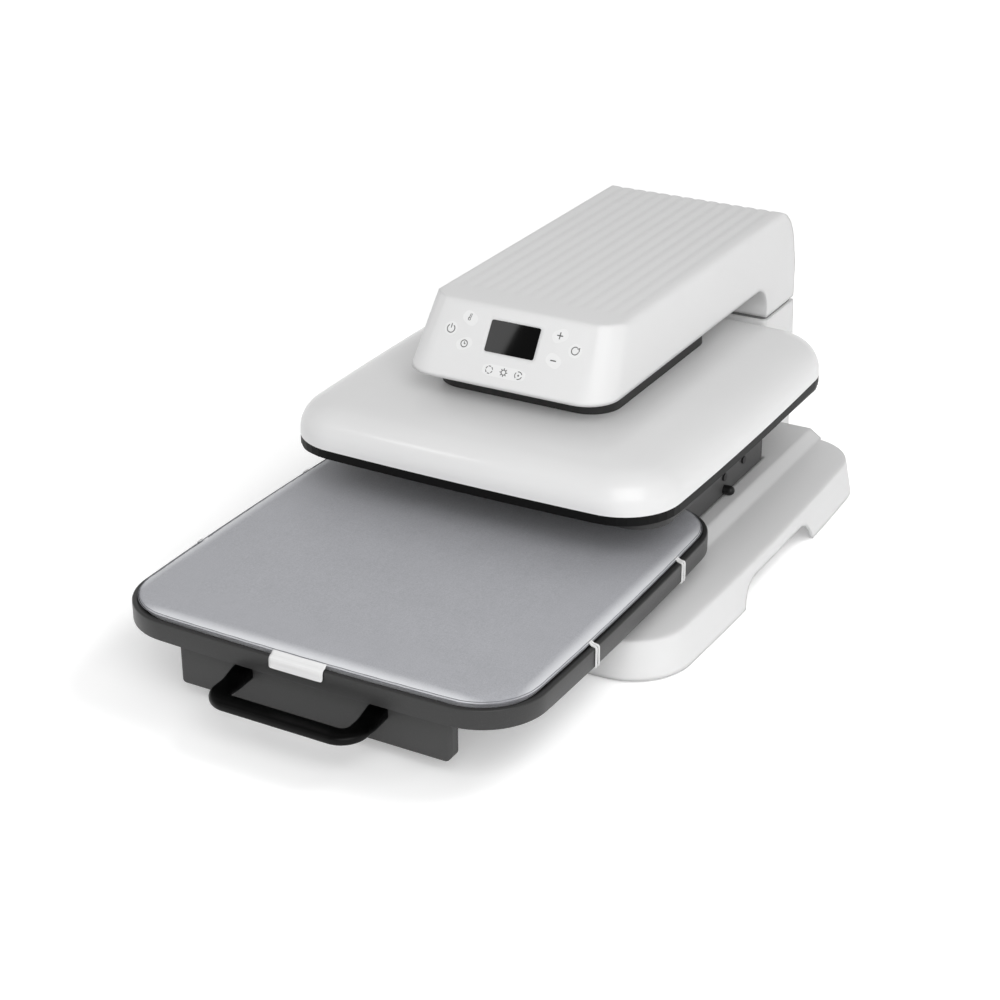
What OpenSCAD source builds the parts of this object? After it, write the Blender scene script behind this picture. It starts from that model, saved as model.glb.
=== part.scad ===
// Flat heat press: a drawer with a padded tray slides out of the base, and a motor lowers
// the heated platen that hangs under the arm. The drawer is drawn pulled out and the
// platen raised. +Z is up, +X is the machine's right and the drawer comes out towards -Y.
// The origin lies on the floor under the middle of the whole machine.

/* [Base] */
// Greatest width of the base at the floor
base_w = 460; // [420:5:520]
// Depth of the base at the floor
base_d = 503; // [480:1:540]
// How far the base's front edge lies ahead of the platen's centre
base_front = 259; // [250:1:280]
// Corner radius of the base in plan
base_r = 59; // [45:1:75]
// How far each side of the base bows out
base_bow = 6.5; // [3:0.5:9]
// Height of the base's outer shelf
shelf_h = 38; // [34:1:44]
// Height of the raised deck above the shelf
deck_rise = 8; // [5:1:10]
// Width of the raised deck at its top edge
deck_w = 326; // [320:2:344]
// Width of the slope from the deck down to the shelf
deck_slope = 12; // [6:1:14]
// Inward lean of the base's side walls over their height
base_draft = 7; // [4:0.5:9]
// Wall thickness of the base shell
base_wall = 3; // [2.5:0.5:4]
// Height of the arch between the base's feet
arch_h = 24; // [18:1:28]
// Length of the arch between the base's feet at the floor
arch_len = 168; // [140:2:200]
// Radius where the arch turns down into a foot
arch_r = 30; // [26:1:44]

/* [Arm and column] */
// Height of the arm's top above the floor
arm_top = 256; // [250:1:264]
// Height of the arm's underside above the floor
arm_under = 193; // [190:1:198]
// Half width of the arm at its underside
arm_half = 106; // [104:0.5:110]
// Half width of the arm at its top
arm_top_half = 99; // [98:0.5:103]
// How far the arm's lower front edge lies ahead of the platen's centre
arm_front = 136; // [134:1:142]
// Run of the slanted control face over its height
face_run = 41; // [36:1:44]
// Corner radius of the arm in plan at the front
arm_r = 32; // [24:1:38]
// Radius of the arm's top edges
arm_edge_r = 8; // [5:1:10]
// Radius of the arm's upper rear edge
arm_rear_r = 36; // [26:1:42]
// Radius under the arm where it turns into the column
arm_fillet_r = 27; // [20:1:32]
// Wall thickness of the arm and column shells
arm_wall = 3; // [2.5:0.5:3.5]
// Distance of the column's front from the platen's centre
column_front = 238; // [234:1:244]
// Depth of the column at the arm
column_d = 74; // [68:1:80]
// Half width of the column at the floor
column_half = 108; // [107:0.5:114]
// Height of the seam between the column's lower shell and the arm
seam_z = 157; // [152:1:162]
// Height of the shadow gap at the seam
seam_gap = 3.6; // [2:0.2:5]
// Distance between the grooves on the arm's top
groove_pitch = 14; // [12:0.1:15]
// Number of grooves on the arm's top
groove_count = 13; // [9:2:13]
// Depth of each groove
groove_depth = 0.9; // [0.6:0.1:1.2]

/* [Platen] */
// Width of the heating plate
plate_w = 380; // [370:1:384]
// Depth of the heating plate
plate_d = 400; // [390:1:410]
// Thickness of the heating plate
plate_t = 14; // [10:1:14]
// Height of the heating plate's face above the floor, raised
plate_z = 119; // [112:1:122]
// How far the heating plate stands below the platen's rim
plate_proud = 6; // [4:0.5:7]
// Width of the platen
platen_w = 391; // [388:1:400]
// Depth of the platen
platen_d = 432; // [425:1:440]
// Corner radius of the platen in plan
platen_r = 57; // [50:1:62]
// How far each side of the platen bows out
platen_bow = 4.4; // [3:0.2:6]
// Height of the platen's dark rim
rim_h = 8.5; // [7:0.5:10]
// Height of the platen's cover above the rim
cover_rise = 37; // [34:1:40]
// Wall thickness of the platen's cover
cover_wall = 2.5; // [2:0.5:3]
// Width of the neck between the platen and the arm
neck_w = 184; // [170:2:188]
// Depth of the neck
neck_d = 235; // [220:1:240]
// Corner radius of the neck
neck_r = 31; // [24:1:36]
// Distance of the neck's centre behind the platen's centre
neck_shift = 15; // [12:1:18]
// Wall thickness of the neck
neck_wall = 3; // [2:0.5:4]
// Gap left between the heating plate and the pad when the press is closed
press_gap = 0.3; // [0.2:0.1:1]

/* [Drawer] */
// Width of the tray
tray_w = 400; // [396:1:410]
// Depth of the tray
tray_d = 416; // [412:1:424]
// Corner radius of the tray
tray_r = 59; // [50:1:66]
// How far each side of the tray bows out
tray_bow = 4.6; // [3:0.2:6]
// Height of the tray's lower edge above the floor
tray_z = 60; // [58:1:62]
// Height of the tray's rim
tray_h = 18; // [16:1:20]
// Width of the tray's rim around the pad
tray_rim = 8.5; // [7:0.5:10]
// Thickness of the tray's floor
tray_floor = 2.6; // [2:0.2:3]
// Thickness of the tray's outer wall
tray_wall = 3; // [2:0.5:4]
// Height of the pad's crown above the tray's rim
pad_rise = 6; // [5:0.5:8]
// How far the drawer slides out
drawer_travel = 264; // [240:2:270]
// Width of the drawer's front panel
panel_w = 266; // [262:1:267]
// Clearance between the front panel's lower edge and the floor
panel_z = 15; // [13:1:18]
// Distance of the front panel behind the tray's front edge
panel_set = 18; // [14:1:24]
// Thickness of the drawer's sheet metal
sheet_t = 1.5; // [1.2:0.1:2]

/* [Handle] */
// Width of the handle across its outside
handle_w = 150; // [130:2:170]
// How far the handle reaches from the front panel
handle_reach = 54; // [48:1:60]
// Width of the handle's bar seen from above
handle_bar = 18; // [14:1:22]
// Height of the handle's bar
handle_h = 9; // [7:0.5:11]
// Height of the handle's end posts
handle_post_h = 15; // [12:1:18]
// Height of the handle's underside above the floor
handle_z = 36; // [32:1:40]

/* [Slides] */
// Height of the telescopic slides
slide_h = 40; // [34:1:40]
// Thickness of a telescopic slide
slide_t = 12.7; // [11:0.1:13]
// Length of a telescopic slide
slide_len = 278; // [270:2:278]
// How far the front panel reaches past the drawer's frame on each side
panel_lap = 0.7; // [0.5:0.1:1.5]
// Thickness of the side rails
rail_t = 3; // [2:0.5:3]
// Height of the side rails' top edge above the floor
rail_top = 69; // [64:1:69]

/* [Controls] */
// Width of the display
display_w = 50.6; // [44:0.2:60]
// Height of the display along the slanted face
display_h = 29.8; // [26:0.2:34]
// Distance of the display's centre above the arm's lower front edge, along the face
display_up = 47.5; // [44:0.5:50]
// Thickness of the display glass
display_t = 2; // [1.5:0.1:3]

/* [Hidden] */
$fn = 48;
// One overrun serves every cut that passes through a face
over = 1;
// Clearance between fitted pieces of one body, and between pieces that slide
fit = 0.2;
run = 0.6;
// Radial clearance of a guide rod in its bush
bush_run = 0.05;
// Straight steps that stand for a rounded corner and for half a bowed side
corner_steps = 9;
edge_steps = 5;
side_steps = 3;
base_mid = base_d / 2 - base_front;
deck_h = shelf_h + deck_rise;
column_rear = column_front + column_d;
column_foot = 10;
floor_gap = 1.5;
tray_y = -drawer_travel;
tray_front = tray_y - tray_d / 2;
tray_top = tray_z + tray_h;
seat_depth = 5;
tray_seat = tray_top - seat_depth;
pad_top = tray_top + pad_rise;
rim_z = plate_z + plate_proud;
cover_z = rim_z + rim_h;
cover_top = cover_z + cover_rise;

// A point on a circle
function on_circle(c, r, a) = c + r * [cos(a), sin(a)];
// Points along an arc
function arc(c, r, a, b, n) = [for (i = [0 : n]) on_circle(c, r, a + (b - a) * i / n)];
// Radius of an arc whose chord and rise are given
function arc_radius(chord, rise) = chord * chord / (8 * rise) + rise / 2;
// Where two circles meet, on the side away from the origin
function meet(c1, r1, c2, r2) =
    let (gap = norm(c2 - c1), e = (c2 - c1) / gap,
        x = (r1 * r1 - r2 * r2 + gap * gap) / (2 * gap),
        h = sqrt(r1 * r1 - x * x),
        p = c1 + e * x + h * [e[1], -e[0]],
        q = c1 + e * x - h * [e[1], -e[0]])
    p[0] + p[1] > q[0] + q[1] ? p : q;
// One quarter of a rounded rectangle with bowed sides, from +X round to +Y
function soft_quarter(w, d, r, bow) =
    let (rs = arc_radius(d, bow), rf = arc_radius(w, bow),
        cs = [w / 2 - rs, 0], cf = [0, d / 2 - rf],
        k = meet(cs, rs - r, cf, rf - r),
        a = atan2(k[1] - cs[1], k[0] - cs[0]),
        b = atan2(k[1] - cf[1], k[0] - cf[0]))
    concat([for (i = [0 : side_steps - 1]) on_circle(cs, rs, a * i / side_steps)],
        arc(k, r, a, b, corner_steps),
        [for (i = [1 : side_steps]) on_circle(cf, rf, b + (90 - b) * i / side_steps)]);
function reversed(p) = [for (i = [len(p) - 1 : -1 : 0]) p[i]];
function inner(p) = [for (i = [1 : len(p) - 2]) p[i]];
// The whole outline, one quarter mirrored round
function soft_points(w, d, r, bow) =
    let (q = soft_quarter(w, d, r, bow),
        left = [for (p = reversed(q)) [-p[0], p[1]]],
        low = [for (p = inner(q)) [-p[0], -p[1]]],
        right = [for (p = reversed(inner(q))) [p[0], -p[1]]])
    concat(q, [for (i = [1 : len(left) - 1]) left[i]], low, [[0, -d / 2]], right);

// Rounded rectangle with bowed sides, drawn smaller by an inset
module soft_outline(w, d, r, bow, inset) {
    polygon(soft_points(w - 2 * inset, d - 2 * inset, max(r - inset, inset / 2), bow));
}

// Plate with the soft outline
module soft_slab(w, d, r, bow, inset, h) {
    linear_extrude(h)
        soft_outline(w, d, r, bow, inset);
}

// Rectangle with true round corners, centred
module round_rect(w, d, r) {
    square([w - 2 * r, d], center = true);
    square([w, d - 2 * r], center = true);
    for (x = [-1, 1], y = [-1, 1])
        translate([x * (w / 2 - r), y * (d / 2 - r)])
            circle(r);
}

// Box given by its low and high corners
module block(low, high) {
    translate(low)
        cube(high - low);
}

// Extrudes a drawing of the YZ plane along X, centred
module along_x(len_x) {
    rotate([90, 0, 90])
        linear_extrude(len_x, center = true)
            children();
}

// Extrudes a drawing of the XZ plane along Y from y0 to y1
module along_y(y0, y1) {
    translate([0, y1, 0])
        rotate([90, 0, 0])
            linear_extrude(y1 - y0)
                children();
}

// Places the children at a mirrored pair of places
module both_sides() {
    for (s = [-1, 1])
        mirror([s < 0 ? 1 : 0, 0, 0])
            children();
}

/* Base: a white shell with two feet each side, open below, over a steel channel. */
rail_half = panel_w / 2 - panel_lap + slide_t;
base_edge = 4;
base_skin_steps = [[0, floor_gap], [base_draft - 1, shelf_h - base_edge],
    [base_draft, shelf_h - base_edge / 3], [base_draft + base_edge, shelf_h]];
channel_half = rail_half + rail_t + fit;
channel_rear = 146;
channel_wall = 2.5;
foot_boss_r = 9;
foot_r = 12;
foot_h = 5;
foot_stud_r = 4;
foot_stud_h = 8;
foot_side_in = 42;
foot_front_in = 48;
foot_rear_in = 52;
foot_x = base_w / 2 - foot_side_in;
foot_front_y = base_mid - base_d / 2 + foot_front_in;
foot_rear_y = base_mid + base_d / 2 - foot_rear_in;

module base_form(inset, drop) {
    translate([0, base_mid, 0])
        hull()
            for (s = base_skin_steps)
                translate([0, 0, s[1] - drop])
                    soft_slab(base_w, base_d, base_r, base_bow, s[0] + inset, fit / 4);
}

module deck_form(inset, y0, y1) {
    along_y(y0, y1)
        polygon([[-deck_w / 2 - deck_slope + inset, shelf_h - inset],
            [-deck_w / 2 + inset, deck_h - inset], [deck_w / 2 - inset, deck_h - inset],
            [deck_w / 2 + deck_slope - inset, shelf_h - inset],
            [deck_w / 2 + deck_slope - inset, shelf_h - deck_rise],
            [-deck_w / 2 - deck_slope + inset, shelf_h - deck_rise]]);
}

module arch_cut() {
    straight = arch_len / 2 - arch_r;
    along_x(base_w + 2 * over) {
        translate([-straight, -over])
            square([2 * straight, arch_h + over]);
        for (s = [-1, 1])
            translate([s * straight, arch_h - arch_r])
                circle(arch_r);
    }
}

module base_shell() {
    front = base_mid - base_d / 2;
    rear = base_mid + base_d / 2;
    deck_front = front + base_draft + 2 * base_edge;
    deck_rear = rear - base_draft - base_edge / 2;
    color("white")
    difference() {
        union() {
            base_form(0, 0);
            deck_form(0, deck_front, deck_rear);
        }
        difference() {
            union() {
                base_form(base_wall, base_wall);
                deck_form(base_wall, deck_front + base_wall, deck_rear - base_wall);
            }
            block([-channel_half - channel_wall, front, floor_gap],
                [channel_half + channel_wall, channel_rear + channel_wall, deck_h]);
            for (x = [-foot_x, foot_x], y = [foot_front_y, foot_rear_y])
                translate([x, y, foot_h])
                    cylinder(h = shelf_h - foot_h - over, r = foot_boss_r);
        }
        block([-channel_half, front - over, -over], [channel_half, channel_rear, deck_h + over]);
        block([-column_half - fit, column_front - fit, -over],
            [column_half + fit, rear + over, deck_h + over]);
        block([-frame_tongue_half - fit, channel_rear - over, -over],
            [frame_tongue_half + fit, column_front, frame_z + frame_web + fit]);
        for (x = [-foot_x, foot_x], y = [foot_front_y, foot_rear_y])
            translate([x, y, foot_h - over])
                cylinder(h = foot_stud_h + over, r = foot_stud_r);
        difference() {
            arch_cut();
            block([-channel_half - channel_wall, -arch_len, -2 * over],
                [channel_half + channel_wall, arch_len, arch_h + over]);
        }
    }
}

module rubber_feet() {
    color("dimgray")
    for (x = [-foot_x, foot_x], y = [foot_front_y, foot_rear_y])
        translate([x, y, 0]) {
            cylinder(h = foot_h, r = foot_r);
            cylinder(h = foot_h + foot_stud_h - fit, r = foot_stud_r - fit);
        }
}

frame_z = 5;
frame_front = -195;
frame_rear = 140;
frame_web = 3;
frame_tongue_half = 92;
frame_tongue_rear = column_rear - 6;
rail_screw_r = 2.2;
rail_screw_places = [45, 91];
rail_screw_z = 65;

module base_frame() {
    color("dimgray")
    difference() {
        union() {
            block([-rail_half - rail_t, frame_front, frame_z],
                [rail_half + rail_t, frame_rear, frame_z + frame_web]);
            block([-frame_tongue_half, frame_rear - over, frame_z],
                [frame_tongue_half, frame_tongue_rear, frame_z + frame_web]);
            for (x = [-rail_half - rail_t, rail_half])
                block([x, frame_front, frame_z], [x + rail_t, frame_rear, rail_top]);
        }
        for (y = rail_screw_places)
            translate([0, y, rail_screw_z])
                rotate([0, 90, 0])
                    cylinder(h = 2 * channel_half, r = rail_screw_r, center = true);
        for (x = [-rail_half / 2, rail_half / 2], y = [frame_front / 2, 0, frame_rear / 2])
            translate([x, y, frame_z - over])
                cylinder(h = frame_web + 2 * over, r = frame_web * 4);
    }
}

screw_head_r = 4;
screw_head_h = 1.8;

module rail_screws() {
    color("black")
    both_sides()
        for (y = rail_screw_places)
            translate([rail_half - rail_t / 2, y, rail_screw_z])
                rotate([0, 90, 0]) {
                    cylinder(h = rail_t * 1.5, r = rail_screw_r - fit);
                    translate([0, 0, rail_t * 1.5])
                        cylinder(h = screw_head_h, r = screw_head_r);
                }
}

stop_y = 47;
stop_r = 5;
stop_h = 6;

module rail_stops() {
    color("black")
    both_sides()
        translate([rail_half + rail_t, stop_y, deck_h + stop_r]) {
            rotate([0, 90, 0])
                cylinder(h = stop_h, r = stop_r - fit);
            translate([stop_h, 0, 0])
                sphere(stop_r - fit);
        }
}

/* Column and arm: drafted shells, cut from three profiles that meet. */
column_edge_r = 8;
duct_side = 20;
duct_end = 8;

// Half width of the column at a height
function column_half_at(z) = column_half + (arm_half - column_half) * z / seam_z;

arm_h = arm_top - arm_under;
face_len = norm([face_run, arm_h]);
side_run = arm_half - arm_top_half;
side_len = norm([side_run, arm_h]);
crest_y = -arm_front + ((arm_h - arm_edge_r) * face_run + arm_edge_r * face_len) / arm_h;
edge_x = arm_half - ((arm_h - arm_edge_r) * side_run + arm_edge_r * side_len) / arm_h;
fillet_y = column_front - arm_fillet_r;
fillet_z = arm_under - arm_fillet_r;

// The arm's front view: sides that lean in and round top edges
module front_view(inset) {
    low = arm_half - inset * side_len / arm_h;
    lean = atan2(side_run, arm_h);
    edge = arc([edge_x, arm_top - arm_edge_r], arm_edge_r - inset, lean, 90, edge_steps);
    right = concat([[low, seam_z], [low, arm_under]], edge);
    polygon(concat(right, [for (p = reversed(right)) [-p[0], p[1]]]));
}

// The arm's side view: slanted face, long top, round rear and the hollow under it
module side_view(inset) {
    low = arm_under - (inset > 0 ? over : 0);
    front = -arm_front + (inset * face_len - (arm_under - low) * face_run) / arm_h;
    lean = 180 - atan2(face_run, arm_h);
    polygon(concat([[front, low]],
        arc([crest_y, arm_top - arm_edge_r], arm_edge_r - inset, lean, 90, edge_steps),
        arc([column_rear - arm_rear_r, arm_top - arm_rear_r], arm_rear_r - inset, 90, 0, corner_steps),
        [[column_rear - inset, seam_z], [column_front + inset, seam_z]],
        arc([fillet_y, fillet_z], arm_fillet_r + inset, 0, 90, corner_steps),
        inset > 0 ? [[fillet_y, low]] : []));
}

// Plan of the arm at a height, with round front corners
module arm_plan(half, front, rear, r) {
    polygon(concat([[half, rear]], arc([half - r, front + r], r, 0, -90, corner_steps),
        arc([-half + r, front + r], r, -90, -180, corner_steps), [[-half, rear]]));
}

// The arm's front corners lean back with the slanted face
module arm_body(inset) {
    lean = inset * face_len / arm_h;
    hull()
        for (e = [[arm_half, -arm_front, arm_under - over], [arm_top_half, -arm_front + face_run, arm_top]])
            translate([0, 0, e[2]])
                linear_extrude(over)
                    arm_plan(e[0] - inset * side_len / arm_h, e[1] + lean, column_rear - inset,
                        arm_r - inset);
    block([-arm_half + inset, 0, seam_z], [arm_half - inset, column_rear - inset, arm_under + over]);
}

module arm_form(inset) {
    intersection() {
        along_x(4 * arm_half)
            side_view(inset);
        along_y(-arm_front - over, column_rear + over)
            front_view(inset);
        arm_body(inset);
    }
}

groove_r = 11.5;
groove_start = crest_y + 36;
groove_fade = 16;
groove_turn = 60;
display_pitch = atan2(arm_h, face_run);

// Puts the children on the slanted face, x to the right, y up the face, z outward
module on_face() {
    translate([0, -arm_front, arm_under])
        rotate([display_pitch, 0, 0])
            children();
}

// Section of all the grooves side by side, measured up from a floor height
function comb(floor_z) =
    let (spread = 1.2 * acos(1 - groove_depth / groove_r),
        half = (groove_count - 1) / 2 * groove_pitch,
        z = floor_z + groove_r - groove_depth)
    concat([for (i = [0 : groove_count - 1])
            for (p = arc([i * groove_pitch - half, z], groove_r, -90 - spread, -90 + spread, 4)) p],
        [for (s = [1, -1]) [s * (half + groove_pitch), floor_z + 2 * groove_depth]]);

// The grooves rise out of the top at the front and follow the round rear edge
module grooves() {
    turn_y = column_rear - arm_rear_r;
    along_y(groove_start, turn_y + fit)
        polygon(comb(arm_top));
    translate([0, groove_start + fit, arm_top])
        rotate([-atan2(groove_depth, groove_fade), 0, 0])
            along_y(-2 * groove_fade, 0)
                polygon(comb(0));
    translate([0, turn_y, arm_top - arm_rear_r])
        rotate([0, -90, 0])
            rotate_extrude(angle = groove_turn)
                polygon([for (p = comb(arm_rear_r)) [p[1], p[0]]]);
}

module arm_shell() {
    color("white")
    difference() {
        arm_form(0);
        arm_form(arm_wall);
        grooves();
        on_face()
            translate([0, display_up, -display_t])
                linear_extrude(display_t + over)
                    round_rect(display_w + 2 * fit, display_h + 2 * fit, display_t);
        on_face()
            translate([0, display_up, -2 * arm_wall])
                linear_extrude(2 * arm_wall)
                    square([display_w - 2 * window_lip, display_h - 2 * window_lip], center = true);
    }
}

module display_glass() {
    color("black")
    on_face()
        translate([0, display_up, -display_t])
            linear_extrude(display_t)
                round_rect(display_w, display_h, display_t);
}

board_t = 1.6;
board_depth = arm_wall + 1;
window_lip = 3;
board_reach = 40;
board_w = display_w + 2 * board_reach;
board_margin = 1;

module display_board() {
    color("darkgreen")
    on_face()
        translate([0, display_up, -board_depth - board_t]) {
            linear_extrude(board_t)
                square([board_w, display_h - 2 * board_margin], center = true);
            linear_extrude(board_depth + board_t - display_t)
                square([display_w - 2 * window_lip - 2 * fit, display_h - 2 * window_lip - 2 * fit],
                    center = true);
        }
}

cover_t = 2.5;
neck_gap = 1;

module arm_bottom_cover() {
    front = -arm_front + (arm_wall * face_len + cover_t * face_run) / arm_h + fit;
    rear = fillet_y - fit;
    half = arm_half - (arm_wall * side_len + cover_t * side_run) / arm_h - fit;
    color("whitesmoke")
    difference() {
        translate([0, 0, arm_under])
            linear_extrude(cover_t)
                arm_plan(half, front, rear, arm_r - arm_wall);
        translate([0, 0, arm_under - over])
            linear_extrude(cover_t + 2 * over)
                neck_outline(neck_gap);
    }
}

module column_outline(inset, z) {
    half = column_half_at(z) - inset;
    rear = column_rear + column_foot * (1 - z / seam_z) - inset;
    front = column_front + inset;
    translate([0, (front + rear) / 2])
        round_rect(2 * half, rear - front, max(column_edge_r - inset, over));
}

module column_form(inset) {
    top = seam_z - seam_gap;
    intersection() {
        along_y(column_front + inset, column_rear + column_foot - inset)
            polygon([[-column_half + inset, 0], [-column_half_at(top) + inset, top],
                [column_half_at(top) - inset, top], [column_half - inset, 0]]);
        along_x(3 * column_half)
            polygon([[column_front + inset, 0], [column_front + inset, top],
                [column_rear + column_foot * seam_gap / seam_z - inset, top],
                [column_rear + column_foot - inset, 0]]);
        linear_extrude(top)
            column_outline(inset, 0);
    }
}

port_z = 30;
inlet_w = 27;
inlet_h = 20;
inlet_x = -30;
switch_x = 14;
switch_w = 13;
switch_h = 20;
bezel = 3;
port_half = 16;
port_left = inlet_x - inlet_w;
port_right = switch_x + switch_w + bezel;
rear_face = column_rear + column_foot * (1 - (port_z + port_half) / seam_z);

module port_cut(x, w, h) {
    translate([x, rear_face, port_z])
        cube([w, 4 * column_foot, h], center = true);
}

module column_shell() {
    color("white")
    difference() {
        intersection() {
            column_form(0);
            block([-2 * column_half, 0, floor_gap], [2 * column_half, 2 * column_rear, arm_top]);
        }
        difference() {
            translate([0, 0, -over])
                column_form(arm_wall);
            block([-column_half, column_front, seam_z - seam_gap - arm_wall],
                [column_half, column_rear, seam_z]);
            block([port_left - arm_wall, rear_face - arm_wall, port_z - port_half - arm_wall],
                [port_right + arm_wall, rear_face + column_foot, port_z + port_half + arm_wall]);
        }
        block([-frame_tongue_half - fit, column_front - over, -over],
            [frame_tongue_half + fit, column_front + 2 * arm_wall, frame_z + frame_web + fit]);
        translate([0, (column_front + column_rear) / 2, seam_z - seam_gap - 2 * arm_wall])
            linear_extrude(3 * arm_wall)
                round_rect(2 * (column_half - duct_side), column_d - 2 * duct_end, column_edge_r);
        block([port_left, rear_face, port_z - port_half],
            [port_right, rear_face + column_foot, port_z + port_half]);
        port_cut(inlet_x, inlet_w + fit, inlet_h + fit);
        port_cut(switch_x, switch_w + fit, switch_h + fit);
    }
}

module seam_collar() {
    inset = 2;
    color("gray")
    translate([0, 0, seam_z - seam_gap])
        difference() {
            linear_extrude(seam_gap)
                column_outline(inset, seam_z);
            translate([0, (column_front + column_rear) / 2, -over])
                linear_extrude(seam_gap + 2 * over)
                    round_rect(2 * (column_half - duct_side), column_d - 2 * duct_end, column_edge_r);
        }
}

module mains_inlet() {
    body_d = 24;
    slot = 2.4;
    pin_pitch = 7;
    color("black")
    translate([inlet_x, rear_face - body_d, port_z])
        difference() {
            union() {
                translate([-inlet_w / 2, 0, -inlet_h / 2])
                    cube([inlet_w, body_d, inlet_h]);
                translate([-inlet_w / 2 - bezel, body_d, -inlet_h / 2 - bezel])
                    cube([inlet_w + 2 * bezel, bezel, inlet_h + 2 * bezel]);
            }
            translate([-inlet_w / 2 + bezel, slot * 2, -inlet_h / 2 + bezel])
                cube([inlet_w - 2 * bezel, body_d + bezel, inlet_h - 2 * bezel]);
        }
    color("silver")
    for (p = [-1, 0, 1])
        translate([inlet_x + p * pin_pitch - slot / 2, rear_face - body_d + slot,
            port_z - slot + (p == 0 ? slot : -slot)])
            cube([slot, body_d - 3 * slot, 2 * slot]);
}

rocker_throw = 8;
switch_wall = 1.2;
rocker_depth = 1;
pin_r = 1.5;
pin_reach = 0.8;

module switch_bezel() {
    body_d = 20;
    color("black")
    translate([switch_x, rear_face - body_d, port_z])
        difference() {
            union() {
                translate([-switch_w / 2, 0, -switch_h / 2])
                    cube([switch_w, body_d, switch_h]);
                translate([-switch_w / 2 - bezel / 2, body_d, -switch_h / 2 - bezel / 2])
                    cube([switch_w + bezel, bezel / 2, switch_h + bezel]);
            }
            translate([-switch_w / 2 + switch_wall, switch_wall, -switch_h / 2 + switch_wall])
                cube([switch_w - 2 * switch_wall, body_d + bezel, switch_h - 2 * switch_wall]);
            translate([0, body_d - rocker_depth, 0])
                rotate([0, 90, 0])
                    cylinder(h = switch_w - 2 * switch_wall + 2 * pin_reach + fit, r = pin_r + bush_run,
                        center = true);
        }
}

// A rocker with a slight valley across its face, tipped to its off side
module power_rocker() {
    half = switch_h / 2 - switch_wall - 2 * run;
    valley = rocker_depth;
    color("black")
    translate([switch_x, rear_face - rocker_depth, port_z])
        rotate([rocker_throw, 0, 0])
            union() {
                along_x(switch_w - 2 * switch_wall - 2 * run)
                    polygon([[-3 * valley, -half], [1.6 * valley, -half], [1.55 * valley, 0],
                        [1.6 * valley, half], [-3 * valley, half]]);
                rotate([0, 90, 0])
                    cylinder(h = switch_w - 2 * switch_wall + 2 * pin_reach, r = pin_r, center = true);
            }
}

/* The press frame: two steel side plates that carry the arm from the base. */
spine_x = 62;
spine_t = 5;
beam_low = 236;
beam_room = 1.2;
beam_high = arm_top - arm_wall - beam_room;
spine_front = column_front + 12;
spine_rear = column_rear - 8;
web_set = 6;
knee_drop = 44;
spine_lip = 2;

module press_frame() {
    beam_front = -62;
    knee = spine_front - 40;
    hole_room = 3;
    color("slategray")
    difference() {
        union() {
            both_sides()
                translate([spine_x + spine_t / 2, 0, 0])
                    along_x(spine_t)
                        polygon([[spine_front, frame_z + frame_web], [spine_front, beam_low - knee_drop],
                            [knee, beam_low], [beam_front, beam_low], [beam_front, beam_high],
                            [spine_rear - arm_rear_r, beam_high],
                            [spine_rear - spine_lip, beam_high - arm_rear_r],
                            [spine_rear - spine_lip, frame_z + frame_web]]);
            block([-spine_x, beam_front, beam_low], [spine_x, knee, beam_low + spine_t / 2]);
            block([-spine_x, spine_front + web_set, frame_z + frame_web],
                [spine_x, spine_front + web_set + spine_t, beam_low - knee_drop]);
        }
        for (x = [-rod_x, rod_x], y = [rod_front, rod_rear])
            translate([x, y, beam_low - over])
                cylinder(h = spine_t, r = rod_r + hole_room);
        translate([0, 0, beam_low - over])
            cylinder(h = spine_t, r = screw_r + hole_room);
    }
}

rod_r = 7;
rod_x = 46;
rod_front = -44;
rod_rear = 96;
screw_r = 8;
carrier_low = arm_under + 5;
carrier_t = 6;
carrier_top = beam_low;

module guide_carrier() {
    sleeve_wall = 5;
    sleeve_r = rod_r + sleeve_wall;
    color("silver")
    difference() {
        union() {
            block([-spine_x, rod_front - 2 * rod_r, carrier_top - carrier_t],
                [spine_x, rod_rear + 2 * rod_r, carrier_top]);
            for (x = [-rod_x, rod_x], y = [rod_front, rod_rear])
                translate([x, y, carrier_low])
                    cylinder(h = carrier_top - carrier_low, r = sleeve_r);
        }
        for (x = [-rod_x, rod_x], y = [rod_front, rod_rear])
            translate([x, y, carrier_low - over])
                cylinder(h = carrier_top - carrier_low + 2 * over, r = rod_r + bush_run);
        translate([0, 0, carrier_top - carrier_t - over])
            cylinder(h = carrier_t + 2 * over, r = screw_r + run);
    }
}

gearbox_h = 28;
gearbox_w = 60;
gearbox_d = 76;
motor_r = 13;
motor_lift = 1;
motor_len = 54;

module gear_motor() {
    low = carrier_top - carrier_t - gearbox_h;
    color("darkgray")
    difference() {
        union() {
            translate([0, gearbox_d / 2 - gearbox_w / 2, low])
                linear_extrude(gearbox_h)
                    round_rect(gearbox_w, gearbox_d, gearbox_w / 8);
            translate([0, gearbox_d - gearbox_w / 2, low + gearbox_h / 2 + motor_lift])
                rotate([-90, 0, 0])
                    cylinder(h = motor_len, r = motor_r);
        }
        translate([0, 0, low - over])
            cylinder(h = gearbox_h + 2 * over, r = screw_r + run);
    }
}

supply_low = 40;
supply_h = 90;
supply_side = 4;
supply_stand = 2;
supply_stand_r = 3;
stand_inset = 10;
coil_box = [32, 20, 28];
coil_r = 12;
coil_len = 22;

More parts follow.
